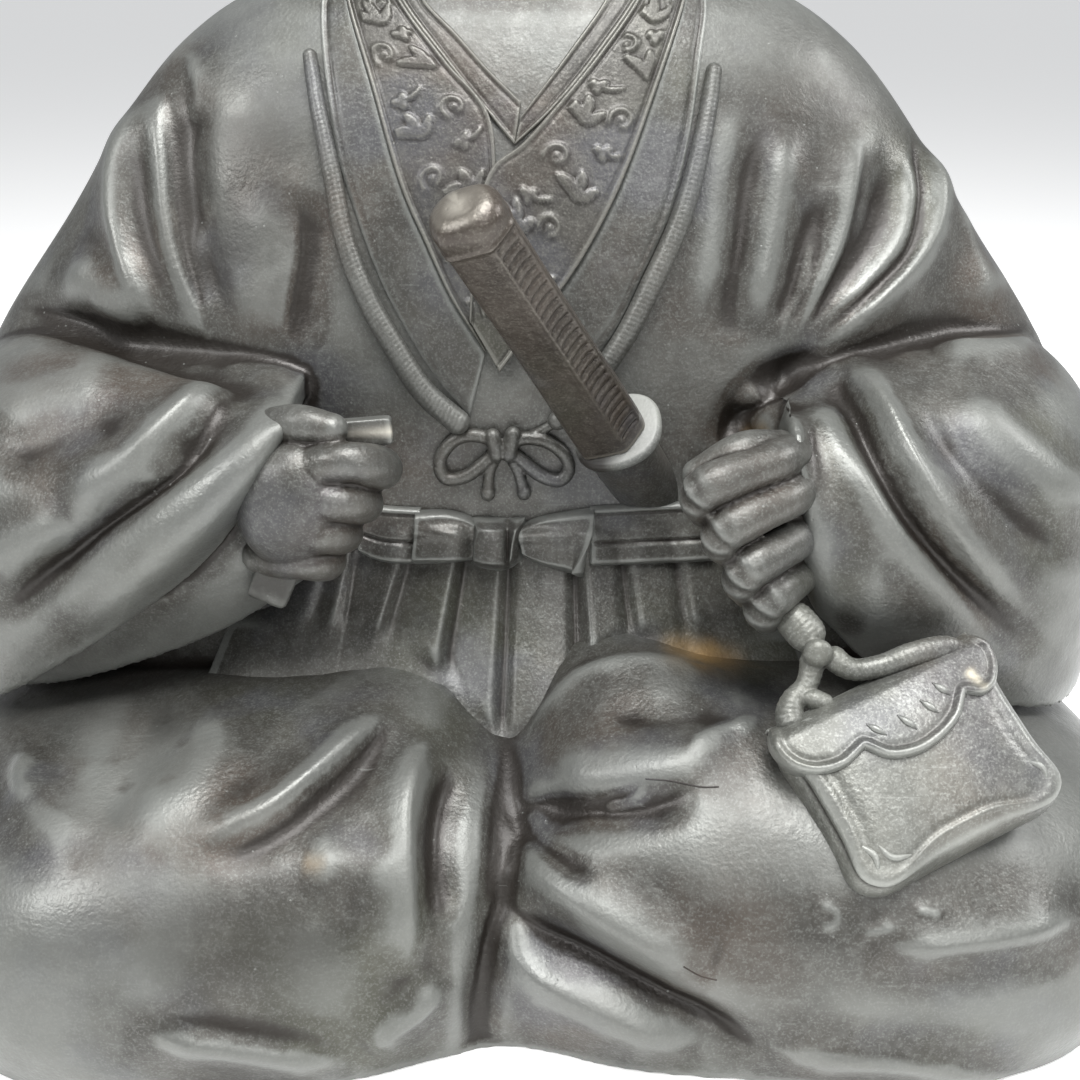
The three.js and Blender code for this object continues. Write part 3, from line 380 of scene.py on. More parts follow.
# Folds are ridges, or grooves where the lift is negative: line on the board, lift in millimetres, and the
# reach in board units to the left and to the right of the line as it is travelled.
FOLDS = [
    # right arm, from the shoulder to the elbow
    ([(165, 84), (124, 160), (127, 245), (163, 332)], 4.6, (20, 20)),
    ([(176, 61), (166, 155), (179, 255), (212, 339)], 2.0, (14, 15)),
    ([(192, 56), (186, 150), (198, 260), (224, 345)], -3.4, (17, 15)),
    ([(272, 190), (266, 262), (262, 335)], 1.8, (24, 28)),
    ([(306, 190), (304, 270), (296, 350)], -2.0, (20, 20)),
    ([(66, 258), (104, 288), (150, 325)], 4.4, (22, 24)),
    ([(5, 302), (107, 331), (205, 362), (290, 392)], -5.5, (17, 17)),
    # left arm
    ([(731, 95), (729, 179), (717, 260), (705, 330)], 2.0, (22, 22)),
    ([(758, 120), (746, 191), (740, 250), (722, 345)], -2.8, (19, 19)),
    ([(790, 120), (766, 235), (748, 330)], 3.6, (19, 18)),
    ([(826, 190), (812, 240), (782, 330)], -2.6, (15, 15)),
    ([(862, 110), (848, 190), (830, 260), (795, 340)], 3.6, (22, 22)),
    ([(884, 150), (872, 220), (840, 285), (806, 345)], -2.8, (15, 14)),
    ([(926, 130), (918, 235), (868, 300), (815, 352)], 5.2, (28, 20)),
    ([(958, 190), (984, 260), (1010, 310)], 2.0, (22, 22)),
    ([(800, 385), (860, 358), (930, 330), (1000, 320)], -2.6, (18, 18)),
    ([(930, 348), (985, 352), (1020, 346), (1047, 332)], 2.6, (12, 22)),
    ([(824, 352), (782, 376), (748, 408), (716, 452)], -5.0, (15, 16)),
    # right sleeve
    ([(236, 374), (185, 417), (125, 468), (60, 505)], 4.4, (17, 24)),
    ([(262, 384), (191, 445), (103, 530), (-10, 622)], -6.4, (18, 17)),
    ([(282, 412), (238, 478), (168, 552), (70, 640)], 3.8, (18, 20)),
    ([(140, 400), (60, 436), (-20, 466)], -3.0, (22, 22)),
    ([(120, 372), (40, 396), (-20, 414)], 2.6, (20, 20)),
    ([(70, 520), (30, 540), (-20, 566)], 2.2, (20, 20)),
    # left sleeve
    ([(742, 440), (785, 406), (842, 392), (880, 462), (930, 545), (1040, 656)], -4.8, (16, 15)),
    ([(790, 396), (852, 376), (905, 458), (965, 553), (1030, 625)], 4.2, (22, 14)),
    ([(752, 462), (812, 424), (850, 460), (915, 555), (1000, 640)], 2.6, (16, 20)),
    ([(915, 400), (985, 480), (1085, 570)], -3.6, (20, 20)),
    ([(950, 390), (1015, 445), (1090, 515)], 3.4, (20, 20)),
    ([(805, 520), (815, 575), (845, 632)], 2.0, (20, 20)),
    # right leg
    ([(516, 740), (508, 800), (500, 880), (484, 975), (478, 1090)], -6.5, (15, 15)),
    ([(392, 706), (321, 775), (257, 820), (185, 842)], 4.4, (16, 24)),
    ([(398, 730), (335, 792), (262, 838), (200, 862)], -3.2, (20, 16)),
    ([(430, 732), (408, 811), (404, 880), (402, 980)], 4.8, (18, 30)),
    ([(456, 760), (438, 830), (444, 930)], -3.6, (18, 16)),
    ([(300, 862), (360, 868), (404, 884)], 2.4, (22, 24)),
    ([(40, 745), (26, 780), (46, 818), (90, 842)], 2.6, (22, 22)),
    ([(190, 690), (150, 735), (120, 790), (104, 836)], -3.0, (22, 22)),
    ([(236, 704), (214, 742), (180, 795), (118, 826)], 3.0, (26, 24)),
    ([(130, 1034), (232, 1042), (350, 1062)], 3.6, (12, 20)),
    ([(444, 975), (412, 1010), (366, 1050)], 3.0, (16, 18)),
    # left leg
    ([(505, 806), (557, 812), (620, 808), (700, 792)], -4.6, (12, 22)),
    ([(535, 765), (600, 772), (680, 762), (730, 728)], 3.2, (26, 18)),
    ([(600, 704), (660, 716), (740, 706)], -2.4, (22, 18)),
    ([(515, 855), (570, 894), (638, 933), (712, 975)], 4.4, (26, 20)),
    ([(498, 895), (555, 945), (625, 984), (690, 1018), (770, 1052)], -5.6, (20, 13)),
    ([(496, 945), (560, 990), (640, 1024), (700, 1046)], 4.2, (15, 26)),
    ([(763, 1046), (824, 1056), (901, 1062), (1020, 1080)], 2.4, (14, 18)),
    ([(870, 950), (939, 944), (1016, 934), (1085, 916)], 3.4, (32, 18)),
]
# Crests and creases that the chaser's tool sharpened, given in the same way.
CREASES = [
    # right arm
    ([(160, 90), (143, 120), (125, 158), (120, 206), (127, 245), (143, 288), (162, 331)], 1.7, (9, 6)),
    ([(163, 86), (165, 153), (169, 217), (180, 262), (206, 335)], 1.3, (4, 8)),
    ([(171, 74), (171, 153), (177, 217), (188, 268), (216, 345)], -1.4, (8, 4)),
    ([(192, 48), (195, 84), (190, 125)], 1.0, (9, 6)),
    ([(196, 215), (199, 268), (217, 334)], 1.2, (8, 8)),
    ([(292, 205), (295, 245), (285, 306), (281, 345)], 0.7, (4, 8)),
    ([(299, 200), (301, 250), (291, 306), (288, 345)], -0.8, (8, 4)),
    ([(20, 306), (73, 318), (109, 335), (153, 348), (205, 367), (250, 384)], -1.8, (6, 6)),
    ([(92, 300), (120, 318), (150, 327)], 1.2, (8, 5)),
    # left arm
    ([(815, 225), (803, 281), (779, 338)], 1.2, (7, 4)),
    ([(822, 230), (810, 281), (786, 336)], -1.2, (4, 6)),
    ([(857, 138), (847, 204), (838, 245), (819, 288), (797, 336)], 1.3, (4, 8)),
    ([(864, 145), (853, 204), (843, 250), (824, 292), (801, 338)], -1.3, (7, 4)),
    ([(904, 148), (904, 200), (894, 240), (867, 275), (830, 312), (806, 344)], 1.5, (4, 8)),
    ([(911, 122), (914, 200), (903, 252), (868, 292), (822, 338)], -1.8, (4, 4)),
    ([(916, 114), (927, 158), (930, 205), (920, 243), (890, 282), (845, 322), (812, 352)], 1.8, (10, 4)),
    ([(945, 200), (975, 262), (995, 305)], 0.8, (6, 6)),
    ([(935, 345), (985, 350), (1020, 345), (1045, 331)], 1.4, (5, 9)),
    ([(820, 350), (782, 373), (748, 405), (716, 452)], -1.8, (5, 5)),
    # right sleeve
    ([(228, 376), (182, 417), (129, 467)], 1.5, (5, 9)),
    ([(190, 442), (158, 472), (128, 480)], 1.0, (5, 5)),
    ([(256, 382), (223, 398), (191, 441), (164, 476), (117, 517), (59, 564), (0, 614)], -1.8, (6, 6)),
    # left sleeve
    ([(845, 394), (864, 428), (892, 483), (922, 533), (955, 573), (995, 612)], -1.5, (5, 5)),
    ([(846, 378), (862, 380), (884, 412), (908, 460), (941, 519), (976, 566)], 1.5, (8, 4)),
    ([(846, 446), (885, 509), (915, 549), (948, 592)], 1.1, (4, 8)),
    # right leg
    ([(512, 770), (505, 806), (496, 885), (480, 955), (476, 1030)], 1.6, (4, 7)),
    ([(387, 711), (352, 748), (299, 793), (262, 818), (222, 832)], 1.8, (5, 10)),
    ([(392, 722), (342, 772), (288, 816)], -1.2, (8, 4)),
    ([(427, 735), (407, 790), (402, 830), (404, 880), (406, 930)], 1.8, (5, 12)),
    ([(32, 752), (22, 782), (34, 806)], 1.2, (8, 8)),
    ([(440, 980), (420, 1006), (386, 1028), (372, 1050)], 1.2, (5, 8)),
    ([(150, 1034), (232, 1041), (304, 1051), (350, 1062)], 1.4, (4, 9)),
    # left leg
    ([(519, 752), (549, 705), (583, 672), (633, 659), (679, 664), (712, 680)], 1.4, (4, 9)),
    ([(688, 758), (700, 742), (722, 730), (764, 719)], 1.6, (5, 12)),
    ([(512, 799), (557, 796), (606, 795), (646, 787)], -2.2, (3, 9)),
    ([(596, 801), (625, 798), (652, 788)], 1.4, (3, 6)),
    ([(513, 812), (532, 838), (566, 862), (600, 878)], -1.8, (9, 9)),
    ([(507, 806), (510, 850), (504, 888)], 1.5, (4, 4)),
    ([(516, 856), (576, 896), (633, 934), (690, 965)], 1.3, (14, 8)),
    ([(502, 898), (537, 934), (576, 957), (633, 991), (684, 1018), (720, 1032), (766, 1051)], -2.2, (8, 4)),
    ([(500, 944), (557, 980), (633, 1016), (694, 1042)], 1.4, (6, 12)),
    ([(763, 1046), (824, 1054), (901, 1058), (958, 1067), (1020, 1078)], 1.2, (4, 8)),
    ([(884, 948), (939, 944), (1016, 934), (1080, 917)], 1.3, (12, 5)),
    # rough filling metal at the foot of the pouch
    ([(812, 914), (822, 906), (838, 915), (828, 926), (812, 918)], 0.7, (4, 4)),
    ([(858, 934), (878, 930), (897, 922)], 0.9, (5, 5)),
    ([(912, 908), (932, 912), (938, 920)], 0.8, (4, 4)),
]
FOLD_PIECES = 28  # straight stretches in a fold's curve
FOLD_FADE = 0.32  # share of its length over which a fold fades out at each end
SOFT, CRISP = 2.0, 1.6  # how round a fold's crest is
FOLD_SPREAD, CREASE_SPREAD = 1.15, 1.35
FOLD_SHARE = 0.8
CLEAR_OF_SKIN = 1.5  # millimetres off the cloth from which a point looks back at the eye
CALM_NORMALS, CALM_SIGHT = 4, 3  # rounds that even out the cloth's directions and the edge of what is seen


def near_line(line, places):
    """Each place's distance from a line, whether it is on its left, and its share of the way along."""
    best = np.full(len(places), np.inf)
    left, along = np.zeros(len(places), bool), np.zeros(len(places))
    for i in range(len(line) - 1):
        away, step = places - line[i], line[i + 1] - line[i]
        t = np.clip(away @ step / max(step @ step, 1e-9), 0, 1)
        distance = np.linalg.norm(away - t[:, None] * step, axis=1)
        nearer = distance < best
        best[nearer] = distance[nearer]
        left[nearer] = (away[:, 0] * step[1] - away[:, 1] * step[0] > 0)[nearer]
        along[nearer] = (i + t[nearer]) / (len(line) - 1)
    return best, left, along


def fold_lift(places, folds, crest, spread=1.0):
    """How far the folds lift the cloth at places on the board."""
    lift = np.zeros(len(places))
    for line, high, (wide_left, wide_right) in folds:
        line = curve(line, FOLD_PIECES)
        wide_left, wide_right = spread * wide_left, spread * wide_right
        reach = 3 * max(wide_left, wide_right)
        close = np.all((places > line.min(0) - reach) & (places < line.max(0) + reach), axis=1)
        distance, left, along = near_line(line, places[close])
        wide = np.where(left, wide_left, wide_right)
        fade = smoothstep(along + 0.04, 0, FOLD_FADE) * smoothstep(1.04 - along, 0, FOLD_FADE)
        lift[close] += high * fade * np.exp(-((distance / wide) ** crest))
    return lift


def seen_from_eye(points, normals, tree):
    """1 where nothing of the piece itself hides a point from the eye."""
    facing = -np.einsum("ij,ij->i", normals, unit(points - EYE))
    seen = np.zeros(len(points))
    for k in np.flatnonzero(facing > 0):
        start = Vector(points[k] + CLEAR_OF_SKIN * normals[k])
        seen[k] = tree.ray_cast(start, (Vector(EYE) - start).normalized())[0] is None
    return seen * np.clip(3 * facing, 0, 1)


def tree_of(*pieces):
    """The pieces' faces, ready to be met by rays."""
    points = [Vector(point) for made in pieces for point in points_of(made)]
    faces, start = [], 0
    for made in pieces:
        faces += [tuple(start + corner for corner in face.vertices) for face in made.data.polygons]
        start += len(made.data.vertices)
    return BVHTree.FromPolygons(points, faces)


def drape(made):
    """Lifts the cloth that the eye sees along its normals by the folds and creases."""
    points, normals, edges = points_of(made), normals_of(made), edges_of(made)
    for _ in range(CALM_NORMALS):
        normals = unit(averaged(normals, edges))
    seen = seen_from_eye(points, normals, tree_of(made))
    for _ in range(CALM_SIGHT):
        seen = averaged(seen, edges)
    places = to_board(points)
    folds = FOLD_SHARE * fold_lift(places, FOLDS, SOFT, FOLD_SPREAD)
    lift = seen * (folds + fold_lift(places, CREASES, CRISP, CREASE_SPREAD))
    set_points(made, smoothed(points + lift[:, None] * normals, edges, 1))


# Folds of the plainer back, in millimetres across and up: the jacket's seam and hem, folds that fall from
# the shoulders, and pleats of the hakama under the hem.
BACK_FOLDS = [
    ([(0, 250), (1, 180), (0, 92)], -1.1, (4, 4)), ([(-96, 226), (-74, 170), (-60, 104)], 3.2, (9, 14)),
    ([(98, 222), (76, 165), (66, 108)], 2.8, (13, 9)), ([(-44, 214), (-34, 160), (-28, 106)], 2.2, (8, 12)),
    ([(40, 206), (32, 152), (30, 100)], 2.0, (11, 8)), ([(-128, 200), (-120, 150), (-96, 100)], 2.6, (9, 13)),
    ([(130, 196), (122, 146), (100, 104)], 2.4, (12, 9)),
    ([(-160, 104), (-90, 90), (0, 84), (90, 90), (160, 104)], 2.6, (13, 3)),
    ([(-120, 80), (-128, 20)], 2.0, (9, 6)), ([(-76, 76), (-82, 14)], 2.0, (6, 9)),
    ([(-30, 74), (-33, 12)], 1.8, (8, 6)), ([(28, 74), (32, 12)], 1.8, (6, 8)),
    ([(78, 76), (84, 16)], 2.0, (9, 6)), ([(122, 80), (130, 20)], 2.0, (6, 9)),
]
BACK_FROM, BACK_FULL = 12, 34  # millimetres behind the spine


def drape_back(made):
    """Lifts the cloth of the back in the same way."""
    points, normals = points_of(made), normals_of(made)
    behind = smoothstep(points[:, 1], BACK_FROM, BACK_FULL) * smoothstep(normals[:, 1], 0, 0.35)
    lift = behind * fold_lift(points[:, [0, 2]], BACK_FOLDS, SOFT)
    set_points(made, smoothed(points + lift[:, None] * normals, edges_of(made), 1))


def settle(made):
    """Cuts the underside flat at the floor."""
    points = points_of(made)
    points[:, 2] = np.maximum(points[:, 2], 0)
    set_points(made, points)


drape(robe)
drape_back(robe)
robe = thinned(robe, ROBE_FACES)
settle(robe)
cloth = tree_of(robe)

# The patina is dark brown with a cool sheen, rubbed brighter on the ridges and darker in the hollows, and
# blotched with red and olive. Under a thin coat of wax it shows casting grain, pits, scratches and stains.
BRONZE_DARK = (0.016, 0.012, 0.009)
BRONZE_MID = (0.066, 0.062, 0.054)
BRONZE_LIGHT = (0.20, 0.205, 0.19)
BRONZE_RED = (0.082, 0.054, 0.038)
BRONZE_OLIVE = (0.064, 0.066, 0.044)
BRONZE_BLUE = (0.070, 0.070, 0.078)
RELIEF_REACH = 0.55  # millimetres of hollow or ridge that count fully
# Colours of stains and wear, and of painted light: a painted highlight, painted shade and a painted shadow.
STAINS_AND_PAINTED_LIGHT = {
    "ochre": (0.30, 0.19, 0.075), "cream": (0.62, 0.56, 0.43), "bare": (0.68, 0.64, 0.55),
    "painted_shadow": (0.02, 0.017, 0.014), "painted_highlight": (0.20, 0.205, 0.19), "painted_shade": (0.034, 0.031, 0.026),
}
# How fine its features are, as counts to the metre.
CLOUDS, HAZE, BLOTCHES, GRAIN, SAND = 16, 27, 70, 420, 1600
SHEEN_PATCHES, UNEVENNESS, SPECK_GROUPS, SPECKS, CASTING_SKIN = 45, 130, 150, 380, 950
SCRATCH_TURNS = [(0.3, 0.5, 0.9), (1.2, 0.2, 2.3)]
SCRATCH_STRETCH = (40, 1500, 1500)
BLOTCH_DARK, SCRATCH_SHARE, SPECK_SHARE = 0.7, 0.22, 0.55
COAT = {"Coat Weight": 0.2, "Coat Roughness": 0.3, "Coat Tint": (0.93, 0.97, 1.0, 1)}


def store(made, name, values):
    """Keeps one number for each point, for the patina to read."""
    mark = made.data.attributes.new(name, "FLOAT", "POINT")
    mark.data.foreach_set("value", np.clip(values, 0, 1).astype(np.float32))


def mark_relief(made, rounds):
    """Stores how far each point stands out of its surroundings, 0.5 where it lies level."""
    points, edges = points_of(made), edges_of(made)
    calm = points
    for _ in range(rounds):
        calm = averaged(calm, edges)
    out = np.einsum("ij,ij->i", points - calm, normals_of(made))
    store(made, "relief", 0.5 + 0.5 * out / RELIEF_REACH)


def stain_and_painted_light(made, name, lines):
    """Marks a place in front with a stain, wear, a painted highlight, painted shade or a painted shadow:
    lines on the board, their strength and their reach.
    """
    in_front = smoothstep(-normals_of(made) @ AHEAD, -0.1, 0.1)
    store(made, name, in_front * fold_lift(to_board(points_of(made)), lines, SOFT))


def node(tree, kind, inputs=(), **settings):
    """One shader node. Its inputs are values or other nodes' outputs, by name or number."""
    made = tree.nodes.new("ShaderNode" + kind)
    for key, value in settings.items():
        setattr(made, key, value)
    for key, value in dict(inputs).items():
        if isinstance(value, bpy.types.NodeSocket):
            tree.links.new(value, made.inputs[key])
        else:
            made.inputs[key].default_value = value
    return made


def noise(tree, place, scale, detail=3):
    return node(tree, "TexNoise", {"Vector": place, "Scale": scale, "Detail": detail}).outputs["Fac"]


def between(tree, value, low, high, first=0.0, last=1.0):
    settings = {"Value": value, "From Min": low, "From Max": high, "To Min": first, "To Max": last}
    return node(tree, "MapRange", settings, interpolation_type="SMOOTHSTEP").outputs[0]


def times(tree, one, other):
    return node(tree, "Math", {0: one, 1: other}, operation="MULTIPLY").outputs[0]


def blend(tree, share, first, second):
    made = node(tree, "Mix", {0: share}, data_type="RGBA")
    for socket, value in ((made.inputs[6], first), (made.inputs[7], second)):
        if isinstance(value, bpy.types.NodeSocket):
            tree.links.new(value, socket)
        else:
            socket.default_value = (*value, 1)
    return made.outputs[2]


def scratches(tree, place, turn):
    """Long thin lines, a few of them, all in one direction."""
    drawn = node(tree, "Mapping", {"Vector": place, "Rotation": turn, "Scale": SCRATCH_STRETCH}).outputs[0]
    return between(tree, noise(tree, drawn, 1.0, 1.0), 0.73, 0.78)


def patina_colour(tree, place, dark, mid, light):
    relief = node(tree, "Attribute", attribute_name="relief").outputs["Fac"]
    broad, blotch = noise(tree, place, CLOUDS), noise(tree, place, BLOTCHES, 4)
    # Layers: what they follow, where in it they begin and are full, their share there, their colour.
    layers = [
        (broad, 0.50, 0.70, 0.4, BRONZE_RED),
        (broad, 0.48, 0.30, 0.5, BRONZE_OLIVE),
        (noise(tree, place, HAZE), 0.52, 0.68, 0.6, BRONZE_BLUE),
        (noise(tree, place, GRAIN, 4), 0.42, 0.72, 0.18, light),
        (noise(tree, place, SAND, 2), 0.48, 0.70, 0.34, light),
        (relief, 0.48, 0.12, 0.9, dark),
        (relief, 0.56, 0.95, 0.65, light),
    ]
    colour = blend(tree, between(tree, blotch, 0.36, 0.68), mid, tuple(BLOTCH_DARK * c for c in mid))
    for follows, begin, full, share, tint in layers:
        colour = blend(tree, between(tree, follows, begin, full, 0, share), colour, tint)
    for turn in SCRATCH_TURNS:
        colour = blend(tree, times(tree, scratches(tree, place, turn), SCRATCH_SHARE), colour, light)
    # Stains and wear, and the painted highlight, painted shade and painted shadow, each laid over the colour.
    for name, tint in STAINS_AND_PAINTED_LIGHT.items():
        mark = node(tree, "Attribute", attribute_name=name).outputs["Fac"]
        colour = blend(tree, times(tree, mark, between(tree, blotch, 0.3, 0.5)), colour, tint)
    return colour


def patina(name, dark, mid, light, rough=0.45, metal=0.45):
    material = bpy.data.materials.new(name)
    material.use_nodes = True
    tree = material.node_tree
    surface = tree.nodes["Principled BSDF"]
    place = node(tree, "TexCoord").outputs["Object"]
    specks = node(tree, "TexVoronoi", {"Vector": place, "Scale": SPECKS}).outputs["Distance"]
    rare = between(tree, noise(tree, place, SPECK_GROUPS, 1), 0.60, 0.66)
    speck = times(tree, between(tree, specks, 0.17, 0.06), rare)
    colour = patina_colour(tree, place, dark, mid, light)
    colour = blend(tree, times(tree, speck, SPECK_SHARE), colour, light)
    tree.links.new(colour, surface.inputs["Base Color"])
    sheen = between(tree, noise(tree, place, SHEEN_PATCHES, 4), 0.3, 0.7, rough - 0.08, rough + 0.12)
    tree.links.new(sheen, surface.inputs["Roughness"])
    for socket, value in {"Metallic": metal, **COAT}.items():
        surface.inputs[socket].default_value = value
    # Relief, each over the one before: unevenness of the cast, pits, and the skin of the mould.
    bent = {}
    for height, strength, distance in (
        (noise(tree, place, UNEVENNESS, 4), 0.3, 0.0012),
        (between(tree, speck, 1, 0), 0.35, 0.0004),
        (noise(tree, place, CASTING_SKIN, 2), 0.5, 0.0003),
    ):
        relief = {"Height": height, "Strength": strength, "Distance": distance, **bent}
        bent = {"Normal": node(tree, "Bump", relief).outputs[0]}
    tree.links.new(bent["Normal"], surface.inputs["Normal"])
    return material


def finish_piece(made, material, node_name, rounds=14):
    mark_relief(made, rounds)
    made.data.materials.clear()
    made.data.materials.append(material)
    made.data.polygons.foreach_set("use_smooth", [True] * len(made.data.polygons))
    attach(made, "root")
    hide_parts(node_name)


# The cloth bears ochre stains, the largest under the belt. The right knee carries a painted highlight, and
# the shoulders, the chest and the right thigh carry painted shade.
OCHRE_STAINS = [
    ([(655, 640), (700, 652), (752, 664)], 0.5, (12, 15)), ([(690, 668), (720, 640)], 0.35, (11, 11)),
    ([(742, 440), (770, 425)], 0.35, (8, 8)), ([(300, 862), (330, 866)], 0.25, (10, 10)),
]
# Painted highlight on the right knee.
PAINTED_HIGHLIGHT_CLOTH = [([(50, 770), (130, 790), (220, 780)], 0.75, (70, 60))]
# Painted shade on the shoulders, the right thigh and the chest.
PAINTED_SHADE_CLOTH = [
    ([(190, 330), (250, 200), (290, 60)], 0.6, (80, 60)),
    ([(860, 200), (800, 80), (760, 20)], 0.45, (80, 80)),
    ([(110, 950), (250, 945), (380, 950)], 0.5, (70, 60)), ([(530, 400), (560, 360)], 0.5, (60, 60)),
]
bronze = patina("bronze patina", BRONZE_DARK, BRONZE_MID, BRONZE_LIGHT)
stain_and_painted_light(robe, "ochre", OCHRE_STAINS)
stain_and_painted_light(robe, "painted_highlight", PAINTED_HIGHLIGHT_CLOTH)
stain_and_painted_light(robe, "painted_shade", PAINTED_SHADE_CLOTH)
finish_piece(robe, bronze, "robed_body")


# The front of the hakama falls from the belt to the lap in pleats. It is bronze, one plate of the same
# casting as the robe, and the pleats flatten out where they sink into the lap.
# Rows: place across at the belt, place across at the lap (board units), how far it stands out.
PLEATS = [
    (250, 196, -11), (290, 243, -2), (314, 276, 0.6), (330, 296, -1), (346, 317, 1.8), (350, 331, -1.2),
    (398, 358, 1.8), (405, 368, -1.4), (455, 431, 2.8), (461, 439, -1.8), (502, 495, 1.6), (507, 501, -2.2),
    (516, 511, 0.8), (545, 540, 1.4), (570, 572, 0.6), (576, 579, -2.2), (583, 592, 2.8), (618, 632, 0.8),
    (624, 638, -1.6), (631, 648, 2.2), (672, 690, 0.6), (678, 697, -1.4), (685, 706, 1.8), (730, 752, 0),
    (780, 822, -10),
]
PLEAT_COLUMNS, PLEAT_ROWS = 440, 80
PLEAT_SLOPE = [(60, 96), (72, 87), (86, 76), (100, 67), (110, 64)]  # height, reach in front of the spine
PLEAT_LOW, PLEAT_HIGH = 58, 112  # heights
PLEAT_TOP, PLEAT_FOOT = 571, 700  # the same on the board, at the belt and at the lap
PLEAT_OPENING = (0.7, 0.9)  # shares of the depth at the belt and at the lap
BELLY_HALF, BELLY_BEND = 75, 7  # the front falls back by the bend at half across
PLEAT_BACK = -30
PLEAT_SHARE = 1.9
PLEAT_SOFT = np.hanning(19)[1:-1] / np.hanning(19).sum()  # rounds the pleats' edges
# Where the pleats sink into the lap: place across, place down on the board.
LAP_EDGE = [
    (196, 634), (330, 640), (385, 646), (440, 674), (505, 740), (560, 704), (600, 656), (660, 640),
    (822, 652),
]
LAP_FADE = (-4, 26)  # board units above the edge
LAP_LEFT = 0.2  # share of their depth that is left at the edge


def hakama_front():
    rows = np.array(PLEATS, float)
    shares = np.linspace(0, 1, PLEAT_COLUMNS)
    marks = (rows[:, 0] - rows[0, 0]) / (rows[-1, 0] - rows[0, 0])
    at_belt, at_lap, proud = [np.interp(shares, marks, rows[:, k]) for k in range(3)]
    proud = np.convolve(np.pad(proud, len(PLEAT_SOFT) // 2, mode="edge"), PLEAT_SOFT, "valid")
    rings = []
    for z in np.linspace(PLEAT_LOW, PLEAT_HIGH, PLEAT_ROWS):
        reach = flow(PLEAT_SLOPE, z)[0, 0]
        v = to_board(np.array([0, -reach, z]))[1]
        fallen = np.clip((v - PLEAT_TOP) / (PLEAT_FOOT - PLEAT_TOP), -0.2, 1.2)
        u = at_belt + fallen * (at_lap - at_belt)
        lines = sight_lines(np.stack([u, np.full_like(shares, v)], 1))
        x = EYE[0] + lines[:, 0] * (-reach - EYE[1]) / lines[:, 1]
        bend = BELLY_BEND * (x / BELLY_HALF) ** 2
        opening = min(PLEAT_OPENING[0] + fallen * (PLEAT_OPENING[1] - PLEAT_OPENING[0]), 1)
        fade = smoothstep(flow(LAP_EDGE, u)[:, 0] - v, *LAP_FADE)
        opening = opening * (LAP_LEFT + (1 - LAP_LEFT) * fade)
        front = np.stack([x, bend - reach - PLEAT_SHARE * proud * opening, np.full_like(x, z)], 1)
        back = [[x[-1], PLEAT_BACK, z], [x[0], PLEAT_BACK, z]]
        rings.append(np.vstack([front, back]))
    return loft("hakama_front", np.array(rings))


hakama = hakama_front()
stain_and_painted_light(hakama, "ochre", OCHRE_STAINS)
finish_piece(hakama, bronze, "robed_body")


# The collars are broad bands with a raised rim at both edges and a scattering of chased scrolls, crossed left
# over right. Under them a plain collar shows in the V. All are bronze and lie on the casting as part of it.
COLLAR_PROUD = 1.8
RIM_HIGH, RIM_WIDE, RIM_GROOVE = 0.55, 0.6, 0.45  # millimetres
V_FOOT = (515, 146)
RIGHT_OUTER = [(366, -48), (350, -24), (348, 2), (373, 88), (400, 182), (426, 243), (452, 299), (486, 352)]
RIGHT_INNER = [(408, -54), (398, -28), (401, 2), (447, 64), (488, 114), (496, 180), (490, 250), (482, 330)]
LEFT_INNER = [(636, -52), (644, -28), (637, 2), (589, 69), (526, 142), (490, 173), (474, 240), (470, 320)]
LEFT_OUTER = [(672, -46), (686, -24), (684, 2), (656, 88), (620, 185), (582, 258), (546, 310), (500, 371)]
UNDER_RIGHT = [(424, -54), (420, -28), (426, 2), (456, 34), (488, 70), (521, 103)]
UNDER_LEFT = [(620, -52), (612, -28), (605, 2), (570, 52), (532, 103), (521, 118)]


def lay(places, tree):
    """Where places on the board fall on a piece, and the way the piece faces there."""
    hits = [tree.ray_cast(Vector(EYE), Vector(line)) for line in sight_lines(places.reshape(-1, 2))]
    points = np.array([hit[0] if hit[0] else (math.nan,) * 3 for hit in hits])
    normals = np.array([hit[1] if hit[0] else (math.nan,) * 3 for hit in hits])
    last = np.maximum.accumulate(np.where(np.isnan(points[:, 0]), 0, np.arange(len(points))))
    return points[last].reshape(*places.shape[:-1], 3), normals[last].reshape(*places.shape[:-1], 3)


def evened(grid, rounds):
    for _ in range(rounds):
        wide = np.pad(grid, ((1, 1), (1, 1), (0, 0)), mode="reflect", reflect_type="odd")
        around = wide[:-2, 1:-1] + wide[2:, 1:-1] + wide[1:-1, :-2] + wide[1:-1, 2:]
        grid = (around + 4 * grid) / 8
    return grid


def closed(name, top, under):
    """A plate between two sheets of points."""
    rows, columns = top.shape[:2]
    count = rows * columns
    index = np.arange(count).reshape(rows, columns)
    quads = np.stack([index[:-1, :-1], index[:-1, 1:], index[1:, 1:], index[1:, :-1]], -1).reshape(-1, 4)
    rim = np.concatenate([index[0, :-1], index[:-1, -1], index[-1, :0:-1], index[:0:-1, 0]])
    after = np.roll(rim, -1)
    skirt = np.stack([rim, rim + count, after + count, after], 1)
    faces = np.vstack([quads, quads[:, ::-1] + count, skirt])
    return piece(name, np.vstack([top.reshape(-1, 3), under.reshape(-1, 3)]), faces.tolist())


